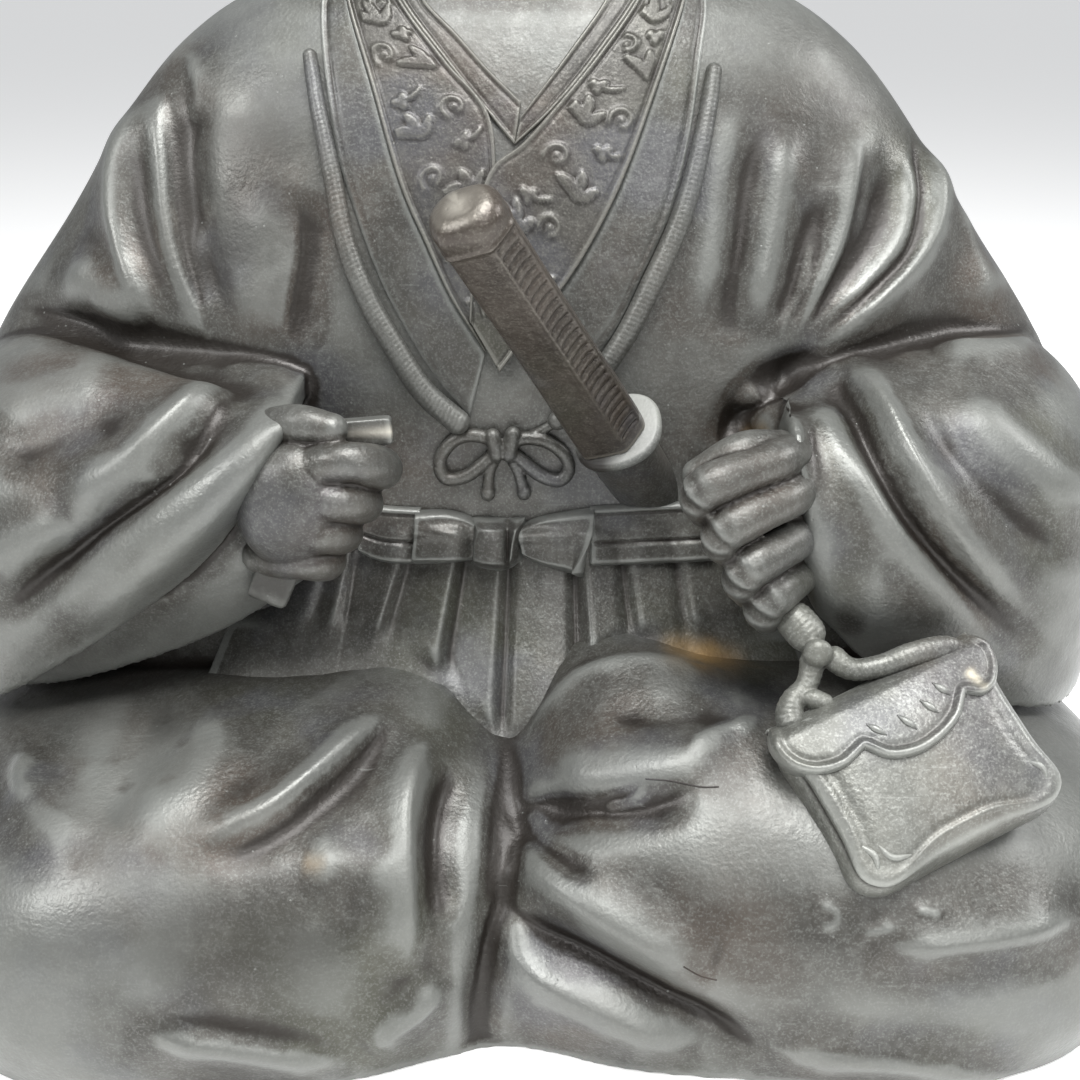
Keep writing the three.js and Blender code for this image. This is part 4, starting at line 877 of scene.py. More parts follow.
def plate(one, other, rows, columns, height, tree, sunk=1.2, calm=4):
    """A plate laid on a piece between two lines on the board. Its height is worked out from the places
    along and across in millimetres, and its whole length and width there."""
    a, b = curve(one, rows), curve(other, rows)
    share = np.linspace(0, 1, columns + 1)
    points, normals = lay(a[:, None] + (b - a)[:, None] * share[None, :, None], tree)
    points, normals = evened(points, calm), unit(evened(normals, 3 * calm))
    steps = np.linalg.norm(np.diff(points.mean(axis=1), axis=0), axis=1)
    along = np.concatenate([[0], np.cumsum(steps)])[:, None] + 0 * share
    wide = np.linalg.norm(points[:, -1] - points[:, 0], axis=1)[:, None] + 0 * share
    lift = height(along, share * wide, along[-1, 0], wide)
    return closed("plate", points + lift[..., None] * normals, points - sunk * normals)


def bump(value, wide):
    return np.exp(-((value / wide) ** 2))


def rims(across, wide):
    """A raised rim along both edges with a groove beside it."""
    edge = np.minimum(across, wide - across)
    return RIM_HIGH * bump(edge - RIM_WIDE, 0.6) - RIM_GROOVE * bump(edge - 2.6 * RIM_WIDE, 0.5)


MOTIF_STEP, MOTIF_SIZE, MOTIF_HIGH = 5.6, 5.8, 0.75  # millimetres
MOTIF_LANE = 0.19  # shares of the band's width by which the two rows lie off its middle
LEAF_WIDE, LEAF_SPREAD = 3.6, (-0.9, 0.1, 1.1)
PATTERN_EDGE = (2.2, 3.2)  # the pattern starts this far in from the band's edges


def petal(x, y, turn, long, wide):
    """1 inside a bent leaf that starts at the middle and runs out in one direction."""
    along = x * math.cos(turn) + y * math.sin(turn)
    across = y * math.cos(turn) - x * math.sin(turn) - 0.1 * along * np.abs(along)
    share = np.clip(along / long, 0, 1)
    half = wide * np.sqrt(share * (1 - share)) * (0.6 + 0.9 * share)
    return smoothstep(half - np.abs(across), -0.1, 0.4) * (along > 0) * (along < long)


def comma(x, y, turn, size):
    """A scroll that winds out from a round eye."""
    swing = (np.arctan2(y, x) + turn) % (2 * math.pi) / (2 * math.pi)
    distance = np.hypot(x, y)
    arm = bump(distance - size * (0.35 + 0.65 * swing), 0.8) * smoothstep(swing, 0, 0.15)
    return np.maximum(arm * smoothstep(1 - swing, 0, 0.12), bump(distance, 1.1))


def cloud(x, y, turn):
    """Three lobes that run together, with a tail."""
    middles = [(1.5 * math.cos(turn + step), 1.5 * math.sin(turn + step)) for step in (0, 2, 4)]
    lobes = sum(bump(np.hypot(x - along, y - across), 1.25) for along, across in middles)
    return np.maximum(smoothstep(lobes, 0.35, 0.75), petal(x, y, turn + 3, MOTIF_SIZE, 1.8))


def motifs(along, across, wide):
    """Scrolls, leaves and clouds in a loose double row, each turned its own way."""
    lift = np.zeros_like(along)
    for i in range(int(along.max() / MOTIF_STEP)):
        middle = (i + 0.6 + 0.2 * math.sin(5 * i)) * MOTIF_STEP
        lane = 0.5 + (MOTIF_LANE if i % 2 else -MOTIF_LANE) + 0.05 * math.sin(3.7 * i)
        x, y = along - middle, across - lane * wide
        turn = 2.1 * i + 0.4
        if i % 3 == 0:
            shape = comma(x, y, turn, 0.62 * MOTIF_SIZE)
        elif i % 3 == 1:
            leaves = [petal(x, y, turn + spread, MOTIF_SIZE, LEAF_WIDE) for spread in LEAF_SPREAD]
            shape = np.maximum.reduce(leaves)
        else:
            shape = cloud(x, y, turn)
        lift += MOTIF_HIGH * shape
    return np.minimum(lift, MOTIF_HIGH)


def patterned(proud):
    def height(along, across, length, wide):
        inside = smoothstep(np.minimum(across, wide - across), *PATTERN_EDGE)
        return proud + rims(across, wide) + inside * motifs(along, across, wide)
    return height


def plain(proud):
    def height(along, across, length, wide):
        return proud + 0.8 * rims(across, wide)
    return height


collars = joined("collars", [
    plate(RIGHT_OUTER, RIGHT_INNER, 230, 44, patterned(COLLAR_PROUD), cloth),
    plate(LEFT_INNER, LEFT_OUTER, 240, 44, patterned(1.5 * COLLAR_PROUD), cloth),
    plate([*RIGHT_INNER[:5], V_FOOT], UNDER_RIGHT, 120, 16, plain(0.6 * COLLAR_PROUD), cloth),
    plate(UNDER_LEFT, [*LEFT_INNER[:4], (550, 114), V_FOOT], 120, 16, plain(0.9 * COLLAR_PROUD), cloth),
])
# The collars take a darker patina than the robe: painted shade on the chest.
collar_painted_shade_bronze = patina("bronze patina darkened as painted shade", BRONZE_DARK, (0.055, 0.051, 0.044), (0.17, 0.165, 0.145))
finish_piece(collars, collar_painted_shade_bronze, "robed_body", 9)


# The jacket's front edges are rolled over into thick twisted cords, with a flat band beside each of them.
# They are bronze and cast with the body, a little sunk into the cloth, and the strands are chased.
ROPE_RIGHT = [(311, 52), (320, 110), (335, 180), (348, 245), (369, 300), (396, 347), (424, 390), (468, 427)]
ROPE_LEFT = [(713, 66), (701, 144), (680, 219), (650, 285), (629, 328), (607, 362), (574, 404), (550, 425)]
BAND_RIGHT = [
    (332, -30), (322, 4), (324, 60), (337, 150), (355, 210), (376, 268), (397, 312), (430, 368), (470, 416),
]
BAND_LEFT = [
    (694, -34), (706, 4), (700, 60), (688, 144), (667, 219), (637, 285), (616, 328), (594, 358), (560, 405),
]
ROPE_SIDES, ROPE_PIECES = 26, 24
ROPE_GRAIN = 0.28  # millimetres between two rings of points
ROPE_SUNK = 0.2  # share of the radius
TWIST_STEP = 1.3  # millimetres along the cord between two strands
TWIST_SLANT = 1.1
TWIST_DEEP = 0.026  # share of the radius


def rope(points, normals, radii, step=TWIST_STEP, deep=TWIST_DEEP):
    """A twisted cord along a curve, with ribs that run round it at a slant."""
    length = np.linalg.norm(np.diff(points, axis=0), axis=1).sum()
    count = int(length / ROPE_GRAIN)
    line, out = curve(points, count), unit(curve(normals, count))
    shares = np.linspace(0, 1, count + 1)
    radius = spread_out(radii, shares)
    inward = np.minimum(shares, 1 - shares)[:, None] * length / radius
    radius = radius * np.sqrt(np.minimum(1, 1.001 - (1 - inward).clip(0) ** 2))
    side = unit(np.cross(np.gradient(line, axis=0), out))
    turns = np.linspace(0, 2 * math.pi, ROPE_SIDES, endpoint=False)
    phase = 2 * math.pi * shares[:, None] * length / step + TWIST_SLANT * 2 * turns
    reach = radius * (1 + deep * (np.abs(np.cos(phase / 2)) - 0.5))
    sweep = np.cos(turns)[None, :, None] * side[:, None] + np.sin(turns)[None, :, None] * out[:, None]
    return loft("rope", line[:, None] + reach[..., None] * sweep)


def rope_on(places, radii, tree):
    """A twisted cord laid on a piece and sunk into it a little."""
    points, normals = lay(curve(places, ROPE_PIECES)[:, None], tree)
    points, normals = evened(points, 2)[:, 0], unit(evened(normals, 4))[:, 0]
    shares = np.linspace(0, 1, ROPE_PIECES + 1)
    high = np.interp(shares, np.linspace(0, 1, len(radii)), radii) * (1 - ROPE_SUNK)
    return rope(points + high[:, None] * normals, normals, radii)


def jacket_edge(along, across, length, wide):
    """A flat band with a groove along its outer edge."""
    return 0.9 - 0.7 * bump(across - 1.6, 0.7) + 0 * along


ropes = joined("ropes", [
    rope_on(ROPE_RIGHT, [1.9, 2.4, 2.8, 3.1, 3.4], cloth),
    rope_on(ROPE_LEFT, [2.1, 2.6, 2.9, 2.9, 2.5], cloth),
    plate(BAND_RIGHT, [(352, -24), *RIGHT_OUTER[2:]], 150, 14, jacket_edge, cloth),
    plate(BAND_LEFT, [(682, -26), *LEFT_OUTER[2:7], (548, 312)], 150, 14, jacket_edge, cloth),
])
finish_piece(ropes, bronze, "robed_body", 6)


# The jacket's cord is tied over the belly in a bow with two loops and two short ends with balls. It is bronze
# and cast with the body, so its parts run together where they touch.
BOW_RADIUS = 1.9
BOW_LOOPS = [
    [
        (499, 446), (488, 437), (470, 434), (453, 440), (440, 459), (446, 477), (466, 475), (484, 462),
        (497, 450),
    ],
    [
        (508, 444), (524, 437), (546, 440), (563, 452), (569, 467), (560, 479), (542, 475), (524, 461),
        (510, 450),
    ],
]
BOW_ENDS = [[(497, 455), (490, 470), (488, 492)], [(510, 456), (518, 470), (524, 491)]]
BOW_KNOTS = [[(493, 434), (497, 452)], [(513, 432), (509, 452)]]
JACKET_CORD = [(508, 446), (528, 436), (552, 424), (572, 406)]
BOW_BALL = (2.1, 2.1, 2.3)
END_PROUD = 1.2
# The lines of the bow: radius as a share of the cord's, how far their middle stands out of the cloth.
BOW_CORDS = [(BOW_LOOPS, 1, 1.5), (BOW_ENDS, 0.85, END_PROUD), (BOW_KNOTS, 1.15, 2.4)]
BOW_VOXEL = 0.4
BALL_ROWS, BALL_SIDES = 30, 36


def cord(places, radius, proud, tree):
    """A plain round cord that lies on a piece, its middle proud of it."""
    points, normals = lay(curve(places, 4 * len(places))[:, None], tree)
    line = evened(points, 1)[:, 0] + proud * unit(evened(normals, 4))[:, 0]
    return limb(line, [radius, radius], sides=16, bends=2)


def ball(middle, radii, turn=0.0):
    """An egg, turned about the front-to-back axis."""
    levels = np.radians(np.linspace(-86, 86, BALL_ROWS))[:, None]
    around = np.linspace(0, 2 * math.pi, BALL_SIDES, endpoint=False)[None, :]
    x = radii[0] * (np.cos(levels) * np.cos(around))
    y = radii[1] * (np.cos(levels) * np.sin(around))
    z = radii[2] * (np.sin(levels) + 0 * around)
    x, z = x * math.cos(turn) + z * math.sin(turn), z * math.cos(turn) - x * math.sin(turn)
    return loft("ball", np.stack([x, y, z], -1) + np.asarray(middle))


def place_on(place, proud, tree):
    points, normals = lay(np.array([place], float), tree)
    return points[0] + proud * normals[0]


bow_parts = []
for lines, share, proud in BOW_CORDS:
    bow_parts += [cord(line, share * BOW_RADIUS, proud, cloth) for line in lines]
bow_parts += [ball(place_on(line[-1], END_PROUD, cloth), BOW_BALL) for line in BOW_ENDS]
bow_parts += [cord(JACKET_CORD, 0.7 * BOW_RADIUS, 0.8, cloth)]
bow = fused("bow", bow_parts, BOW_VOXEL, 2)
finish_piece(bow, bronze, "robed_body", 8)


# Two short hairline cracks run through the left leg of the casting, one on the thigh and one lower down. Dirt
# has filled them, so they are nearly black and dull.
CRACKS = [[(646, 779), (671, 781), (700, 787), (718, 787)], [(684, 967), (700, 976), (716, 980)]]
CRACK_RADIUS, CRACK_PROUD = 0.26, -0.12
cracks = joined("casting_cracks", [cord(line, CRACK_RADIUS, CRACK_PROUD, cloth) for line in CRACKS])
crack_dirt = patina("crack", BRONZE_DARK, BRONZE_DARK, BRONZE_DARK, 0.7, 0.2)
finish_piece(cracks, crack_dirt, "robed_body")


# The belt is a stiff flat band with two grooves along it, tied in a flat bow: a wing, the knot, another wing.
# It is bronze, cast with the body, and lies on the jacket and on the pleats. Its lines are the upper and the
# lower edge of each plate.
BELT_RIGHT = [(362, 500), (384, 505), (421, 507)], [(358, 551), (384, 562), (421, 564)]
BELT_LEFT = [(590, 506), (640, 503), (706, 500)], [(590, 566), (640, 564), (712, 561)]
WING_RIGHT = (
    [(416, 510), (446, 509), (470, 515), (482, 524)],
    [(418, 564), (446, 563), (468, 560), (480, 558)],
)
WING_LEFT = (
    [(520, 524), (540, 516), (566, 511), (594, 507)],
    [(524, 556), (540, 564), (562, 571), (583, 577)],
)
KNOT = (
    [(472, 517), (484, 516), (506, 518), (526, 516)],
    [(475, 565), (490, 570), (508, 570), (522, 560)],
)
BELT_PROUD, KNOT_PROUD, BELT_SUNK = 2, 5.2, 4  # millimetres
BELT_CALM = 90  # rounds that even out the cloth under the belt


def band_height(along, across, length, wide):
    """Two grooves along the band, and a low rim along both edges."""
    share = across / wide
    edge = np.minimum(across, wide - across)
    groove = -0.9 * bump((share - 0.62) * wide, 0.7) - 0.5 * bump((share - 0.14) * wide, 0.5)
    return BELT_PROUD * smoothstep(edge, -0.6, 0.9) + groove + 0.3 * bump(edge - 1, 0.7)


def wing_height(proud, slope):
    """A wing of the bow: it rises to its outer edge and its lower half is bent back."""
    def height(along, across, length, wide):
        edge = np.minimum(across, wide - across)
        rise = along / length if slope > 0 else 1 - along / length
        fold = 1.1 * bump(across / wide - 0.42 + 0.12 * rise, 0.16)
        return proud * smoothstep(edge, -0.6, 1.1) * (0.65 + 0.35 * rise) + fold
    return height


def knot_height(along, across, length, wide):
    """The knot's lobe, with a groove and a ridge beside it."""
    edge = np.minimum(np.minimum(along, length - along), np.minimum(across, wide - across))
    ridge = 1.6 * bump(along - 0.83 * length, 1.1) - 1.3 * bump(along - 0.66 * length, 0.9)
    lobe = 1.2 * bump(along - 0.3 * length, 3.2)
    return KNOT_PROUD * smoothstep(edge, -0.8, 2.4) + ridge + lobe


# Plates: edges, rows, columns, height.
BELT_PLATES = [
    (BELT_RIGHT, 50, 36, band_height), (BELT_LEFT, 90, 36, band_height),
    (WING_RIGHT, 50, 36, wing_height(4.2, -1)), (WING_LEFT, 56, 40, wing_height(4.6, 1)),
    (KNOT, 44, 40, knot_height),
]
front = tree_of(robe, hakama)
belt = joined("belt", [
    plate(*edges, rows, columns, height, front, BELT_SUNK, BELT_CALM)
    for edges, rows, columns, height in BELT_PLATES
])
finish_piece(belt, bronze, "robed_body", 8)


# Head and neck are one bronze casting let down into the collar. The face is calm and plain, and the hair is
# combed back to a tied topknot that is folded forward.
CHIN_Z = 272
HEAD_HEIGHT = 88
SKULL_Y = -6
# Rows by height over the chin: half width, reach in front, reach behind.
SKULL = [
    (-6, 9, 10, 18), (0, 15, 26, 22), (6, 20.5, 31.5, 26), (14, 25, 33, 31), (26, 28.5, 34.5, 37),
    (38, 30, 35, 40), (50, 30.5, 35.5, 41), (62, 29.5, 34, 39.5), (72, 26.5, 29, 35.5), (80, 20.5, 21, 28),
    (85.5, 12, 12, 17), (HEAD_HEIGHT, 3, 3, 4),
]
# Features: place across, height over the chin, half width, half height, how far they stand out. Those off the
# middle come in pairs.
FEATURES = [
    (0, 30, 4.6, 4.2, 8.5),  # tip of the nose
    (0, 38, 3.4, 8, 5),
    (0, 46, 3.6, 5, 2.2),
    (5.3, 28.6, 2.6, 2.6, 2.6),  # wings of the nose
    (13.5, 44, 8.5, 5, -4.4),  # eye sockets
    (13.5, 43.2, 6.4, 3.2, 3.6),
    (12.5, 51, 11, 2.4, 2.2),  # brows
    (19, 35, 8, 7, 1.8),  # cheekbones
    (0, 20.6, 7.6, 1.7, 2.4),  # lips
    (0, 15.6, 7, 2.1, 2.7),
    (0, 5, 9, 5.5, 3.2),  # chin
    (0, 10.8, 9, 2.6, -1.2),
]
# Fine lines of the face, given in the same way.
FACE_LINES = [
    (0, 18.2, 8.6, 0.55, -1.5),  # between the lips
    (0, 24.4, 1.5, 2.2, -0.7),  # the furrow over them
    (2.3, 26.4, 1.5, 0.8, -1.3),  # nostrils
    (13.5, 41.6, 5.6, 0.5, -1.0),  # below the lid
]
HEAD_VOXEL = 0.85
HAIR_THICK = 1.8
HAIR_STEP = 1.5  # millimetres between combed strands
EAR = [(31, 4, 30), (33.5, 1, 34), (34.5, -1, 41), (33.5, 3, 46), (31, 6, 42)]
KNOT_LINE = [(0, 33, 70), (0, 31, 83), (0, 17, 91), (0, -4, 90)]
TIE_LINE = [(0, 30, 78), (0, 28, 85)]
NECK = [(0, 2, 238), (0, -1, 262), (0, -3, CHIN_Z + 8)], [24, 22, 21]
SKULL_SIDES, SKULL_ROWS = 300, 170
HAIRLINE = 66  # height over the chin in the middle of the forehead
CROWN_Y, CROWN_REACH = 33, 34  # strands over the forehead run to this place, spaced as at this distance
COMB_RISE = 0.35  # how much the strands on the sides climb to the back
COMB_DEEP = 0.22


def feature_lift(features, x, height):
    lift = np.zeros_like(x)
    for across, up, wide, tall, high in features:
        for side in (1, -1) if across else (1,):
            lift += high * np.exp(-(((x - side * across) / wide) ** 2) - ((height - up) / tall) ** 2)
    return lift


def hairline(x):
    return HAIRLINE - 0.022 * x * x


def skull():
    """Rings from under the chin to the crown, with the features raised in front and the hair round them."""
    turns = np.linspace(-math.pi, math.pi, SKULL_SIDES, endpoint=False)
    rings = []
    for height in np.linspace(SKULL[0][0], HEAD_HEIGHT, SKULL_ROWS):
        wide, ahead, behind = flow(SKULL, height)[0]
        front = np.clip(np.cos(turns), 0, 1)
        x = wide * np.sin(turns)
        high = height + 0 * x
        lift = feature_lift(FEATURES, x, high) * front
        hair = HAIR_THICK * np.where(np.cos(turns) > 0, smoothstep(high - hairline(x), -0.6, 1.2), 1)
        grow = 1 + hair / max(wide, 9) * smoothstep(height, 16, 26)
        reach = np.where(np.cos(turns) > 0, -(ahead + lift), behind) * np.abs(np.cos(turns))
        rings.append(np.stack([x * grow, SKULL_Y + reach * grow, CHIN_Z + high], 1))
    return loft("skull", np.array(rings))


def on_head(places, side=1):
    return [(side * x, SKULL_Y + y, CHIN_Z + z) for x, y, z in places]


def ear(side):
    rim = limb(on_head(EAR, side), [2.2, 2, 1.9, 2, 1.7], sides=14)
    bowl = ball(on_head([(30.5, 2, 38)], side)[0], (2.6, 4.8, 8.5))
    lobe = ball(on_head([(31, 2.5, 30)], side)[0], (2.2, 2.8, 3.2))
    return [rim, bowl, lobe]


def head_shape():
    parts = [skull(), *ear(1), *ear(-1), limb(on_head(KNOT_LINE), [7.5, 5.6, 5, 6.4]), limb(*NECK, sides=40)]
    return fused("neck_and_head", parts, HEAD_VOXEL, 3)


def dress_head(made):
    """Chases the fine lines of the face and combs the hair."""
    points, normals = points_of(made), normals_of(made)
    x, y, high = points[:, 0], points[:, 1] - SKULL_Y, points[:, 2] - CHIN_Z
    face = smoothstep(-y, 8, 18)
    lift = feature_lift(FACE_LINES, x, high) * face
    on_hair = np.where(y < 0, smoothstep(high - hairline(x), 0, 1.5), smoothstep(high, 14, 18))
    on_hair = on_hair * (np.abs(x) < EAR[0][0] + 0.5)
    crown = np.arctan2(x, -(y - CROWN_Y)) * CROWN_REACH
    comb = np.where(high > HAIRLINE, crown, high + COMB_RISE * y)
    lift += COMB_DEEP * on_hair * np.cos(2 * math.pi * comb / HAIR_STEP)
    set_points(made, points + lift[:, None] * normals)


head = head_shape()
dress_head(head)
tie = limb(on_head(TIE_LINE), [7.4, 7.2], sides=30)
tie.name = "topknot_tie"
finish_piece(head, bronze, "head", 8)
finish_piece(tie, bronze, "head", 4)


# The hands are bronze fists cast on their own and set against the sleeves, where a dark seam shows. The right
# one holds a closed fan: one flat block comes out under the fist and a narrower one over it.
FINGER = 5.3
FINGER_RADII = [FINGER * share for share in (1, 1.02, 1.02, 0.96, 1.04, 0.98, 0.8)]  # root to tip
THUMB_RADII = [0.9 * FINGER, 0.95 * FINGER, 0.75 * FINGER]
WRIST_RADII = [11, 12, 11]
FIST_VOXEL, FIST_ROUNDS = 0.65, 11
# Palms are eggs: middle, radii, turn.
LEFT_FIST = {
    "palm": [((63, -91, 128), (9, 9, 17), -0.15)],
    "fingers": [
        [(73, -84, 141.5), (64.4, -99, 143.5), (46.6, -106.4, 139.1), (47.9, -100, 130.8)],
        [(77, -84, 133), (67.2, -101, 134.3), (51.6, -108.4, 128.8), (54.5, -101, 120.2)],
        [(79, -84, 122), (68.8, -101.5, 122.5), (57.2, -108.9, 118.4), (59.6, -101, 109.5)],
        [(80, -83, 112), (70.2, -100.5, 111.8), (62.8, -107.9, 109.6), (64.8, -101, 102.3)],
    ],
    "thumb": [(67.2, -90, 144), (56.7, -97, 145.4), (46, -98, 140)],
    "wrist": [(68, -88, 129), (82, -76, 127), (96, -64, 124)],
}
RIGHT_FIST = {
    "palm": [((-58, -84, 129), (14, 11, 18), 0.15), ((-55, -92, 129.5), (15, 10.5, 17), 0.25)],
    "fingers": [
        [(-56.1, -90, 138.3), (-41.2, -96, 142.5), (-33, -91, 139.2), (-36, -83, 136)],
        [(-59.8, -90, 128.9), (-45.4, -97, 132.3), (-38.1, -92, 130.2), (-41, -84, 127)],
        [(-63.2, -89, 120.2), (-49, -96.5, 123.5), (-43.6, -92, 122), (-46, -84, 119)],
        [(-65.3, -88, 114.2), (-53.9, -94, 115.3), (-48.5, -91, 114), (-50, -84, 112)],
    ],
    "thumb": [(-63, -83, 147.4), (-53, -89.5, 150.3), (-44.5, -92, 149.8)],
    "wrist": [(-62, -83, 130), (-72, -75, 126), (-86, -62, 122)],
}
FAN = {"start": (-64.7, -90, 102.5), "end": (-50, -88, 135), "wide": 11, "thick": 6.5}
FAN_BAR = {"start": (-53, -89, 146.8), "end": (-30, -88, 148.4), "wide": 7, "thick": 4}
BLOCK_SQUARE = 0.28
BLOCK_SIDES = 64
# Rows: share of the length, share of the full width.
BLOCK_LAYERS = [
    (0, 0.5), (0.004, 0.84), (0.03, 0.97), (0.08, 1), (0.92, 1), (0.97, 0.97), (0.996, 0.84), (1, 0.5),
]


def fist(name, hand):
    parts = [ball(*egg) for egg in hand["palm"]]
    parts += [limb(hand["wrist"], WRIST_RADII), limb(hand["thumb"], THUMB_RADII)]
    parts += [limb(finger, FINGER_RADII) for finger in hand["fingers"]]
    return fused(name, parts, FIST_VOXEL, FIST_ROUNDS)


def block(start, end, wide, thick):
    """A straight block with soft corners from one place to another."""
    length = np.linalg.norm(np.subtract(end, start))
    along = np.subtract(end, start) / length
    across = unit(np.cross([0, 1.0, 0], along))
    axes = np.stack([across, np.cross(along, across), along])
    turns = np.linspace(-math.pi, math.pi, BLOCK_SIDES, endpoint=False)
    rings = []
    for layer, shrink in BLOCK_LAYERS:
        x = power(np.cos(turns), BLOCK_SQUARE) * wide * shrink / 2
        y = power(np.sin(turns), BLOCK_SQUARE) * thick * shrink / 2
        rings.append(np.stack([x, y, np.full_like(turns, layer * length)], 1) @ axes + np.asarray(start))
    return loft("block", np.array(rings))


FAN_BARE = [([(382, 430), (396, 432)], 0.8, (5, 5))]
# Painted shadow on the fan, under the fist and under the sleeve.
FAN_PAINTED_SHADOW = [([(240, 575), (300, 595)], 0.85, (30, 30)), ([(296, 434), (362, 434)], 0.5, (20, 20))]
left_hand = fist("left_fist", LEFT_FIST)
right_hand = fist("right_fist", RIGHT_FIST)
fan = joined("closed_fan", [block(**FAN), block(**FAN_BAR)])
stain_and_painted_light(fan, "bare", FAN_BARE)
stain_and_painted_light(fan, "painted_shadow", FAN_PAINTED_SHADOW)
finish_piece(left_hand, bronze, "left_hand", 12)
finish_piece(right_hand, bronze, "right_hand_with_fan", 12)
finish_piece(fan, bronze, "right_hand_with_fan", 2)


# The pouch is a soft flat bag with a lobed flap, cast on its own in bronze and worn pale. It leans on the
# left thigh, where rough filling metal holds it at its foot.
POUCH_AT = np.array([99.0, -128, 74])
POUCH_WIDE, POUCH_HIGH, POUCH_DEEP = 62, 48, 13
POUCH_ACROSS = unit(np.array([51.3, 19.3, 16.7]))
POUCH_OUT = unit(np.cross(unit(np.array([21, -30, -29.8])), POUCH_ACROSS))
POUCH_RISE = np.cross(POUCH_OUT, POUCH_ACROSS)
POUCH_AXES = np.stack([POUCH_ACROSS, POUCH_RISE, POUCH_OUT])
POUCH_SIDES = 230
POUCH_SQUARE = 0.42
POUCH_PUFF = 4.2  # the front swells by this much
BORDER_HIGH, BORDER_WIDE = 1.0, 1.1  # the rolled edge


def from_pouch(places):
    return np.asarray(places, float) @ POUCH_AXES + POUCH_AT


def puffed(x, y):
    """Height of the front face over its corners."""
    narrow, low = np.abs(2 * x / POUCH_WIDE) ** 3, np.abs(2 * y / POUCH_HIGH) ** 3
    return POUCH_PUFF * np.clip(1 - narrow, 0, 1) * np.clip(1 - low, 0, 1)


def pouch_ring(layer, swell, front):
    """The bag's outline, drawn in at the middle of each side; in front most of all at the foot."""
    turn = np.linspace(0, 2 * math.pi, POUCH_SIDES, endpoint=False)
    foot = np.where(np.sin(turn) < -0.5, 0.16, 0.02) * front * swell
    waist = swell * (1 - (0.06 + 0.03 * layer + foot) * np.cos(2 * turn) ** 4)
    x = POUCH_WIDE / 2 * power(np.cos(turn), POUCH_SQUARE) * waist
    y = POUCH_HIGH / 2 * power(np.sin(turn), POUCH_SQUARE) * waist
    rim = 0.4 * BORDER_HIGH * bump(swell - 0.9, 0.05) - 0.25 * bump(swell - 0.8, 0.06)
    z = POUCH_DEEP / 2 * layer + front * (puffed(x, y) + rim)
    return from_pouch(np.stack([x, y, z], 1))


def pouch_bag():
    """From the back round the edge to the front, then in over the front face."""
    back = [(-1, share, 0) for share in np.linspace(0.1, 0.86, 12)]
    edge = [(math.sin(a), 0.86 + 0.14 * math.cos(a), 0) for a in np.radians(np.linspace(-80, 50, 22))]
    face = [(1, share, smoothstep(0.99 - share, 0, 0.06)) for share in np.linspace(0.965, 0.02, 66)]
    return loft("pouch_bag", np.array([pouch_ring(*row) for row in back + edge + face]))


FLAP_LOBES = [
    [(-29, 23.4), (-31.2, 19), (-29.9, 13), (-25.5, 8.6), (-19, 7), (-12.5, 8.6)],
    [(-12.5, 8.6), (-8.5, 4), (-2, 1.9), (5, 2.4), (12, 5), (17.2, 9.6)],
    [(17.2, 9.6), (21, 7.6), (25.5, 8.6), (29.4, 12.6), (31, 18), (29, 23.4)],
]
FLAP_COLUMNS, FLAP_ROWS = 80, 64  # columns to each lobe
FLAP_THICK = 1.3
FLAP_TURN = 18.5  # from this height on the flap rolls back over the pouch's mouth


def flap():
    """The flap falls from the mouth to a border in three lobes with a rolled edge."""
    border = np.vstack([curve(lobe, FLAP_COLUMNS) for lobe in FLAP_LOBES])
    top = np.stack([np.linspace(-29, 29, len(border)), np.full(len(border), 24.2)], 1)
    shares = np.linspace(0, 1, FLAP_ROWS)[None, :, None]
    grid = top[:, None] + (border - top)[:, None] * shares
    x, y = grid[..., 0], grid[..., 1]
    edge = near_line(border, grid.reshape(-1, 2))[0].reshape(x.shape)
    roll = 0.16 * np.maximum(y - FLAP_TURN, 0) ** 2
    rise = puffed(x, y) + FLAP_THICK * smoothstep(edge, -0.2, 0.5)
    rise = rise + BORDER_HIGH * bump(edge - 1.2, BORDER_WIDE) - 0.3 * bump(edge - 3.0, 0.8)
    upper = np.dstack([grid, POUCH_DEEP / 2 + rise - roll])
    under = np.dstack([grid, np.full(x.shape, POUCH_DEEP / 2 - 3.0) - 0.6 * roll])
    return closed("flap", from_pouch(upper), from_pouch(under))


def on_front(x, y, proud):
    return from_pouch([(x, y, POUCH_DEEP / 2 + puffed(x, y) + proud)])[0]


def front_stroke(line, radii, proud):
    return limb([on_front(x, y, proud) for x, y in curve(line, 6)], radii, sides=12, bends=2)


# Four small pointed strokes in a row on the flap, and crumpled leather at the two lower corners.
FLAP_STROKES = [
    [(-9, 13.4), (-6.4, 9.2)], [(-1.2, 12), (0.9, 7.2)], [(5.8, 12.8), (7.8, 8.4)], [(11.2, 15.2), (13, 11)],
]
CORNER_FOLDS = [
    [(-25, -10), (-23, -14), (-24.5, -18)], [(-21, -12.5), (-19.5, -16), (-15.5, -17.5)],
    [(22, -11), (24.5, -13.5), (24, -17)],
]
CHIP = [(20.7, 15.1), (22, 11.5), (22.5, 7.6)]  # a cream chip at the flap's edge
strokes = [front_stroke(line, [0.3, 0.95, 0.25], FLAP_THICK) for line in FLAP_STROKES]
strokes += [front_stroke(line, [0.5, 0.95, 0.5], -0.5) for line in CORNER_FOLDS]
pouch = joined("pouch", [pouch_bag(), flap(), *strokes])
worn_bronze = patina("worn bronze patina", BRONZE_DARK, (0.15, 0.15, 0.132), (0.32, 0.325, 0.30), 0.42)
stain_and_painted_light(pouch, "cream", [(to_board(np.array([on_front(x, y, FLAP_THICK) for x, y in CHIP])), 0.9, (5, 5))])
finish_piece(pouch, worn_bronze, "pouch_and_strap", 9)


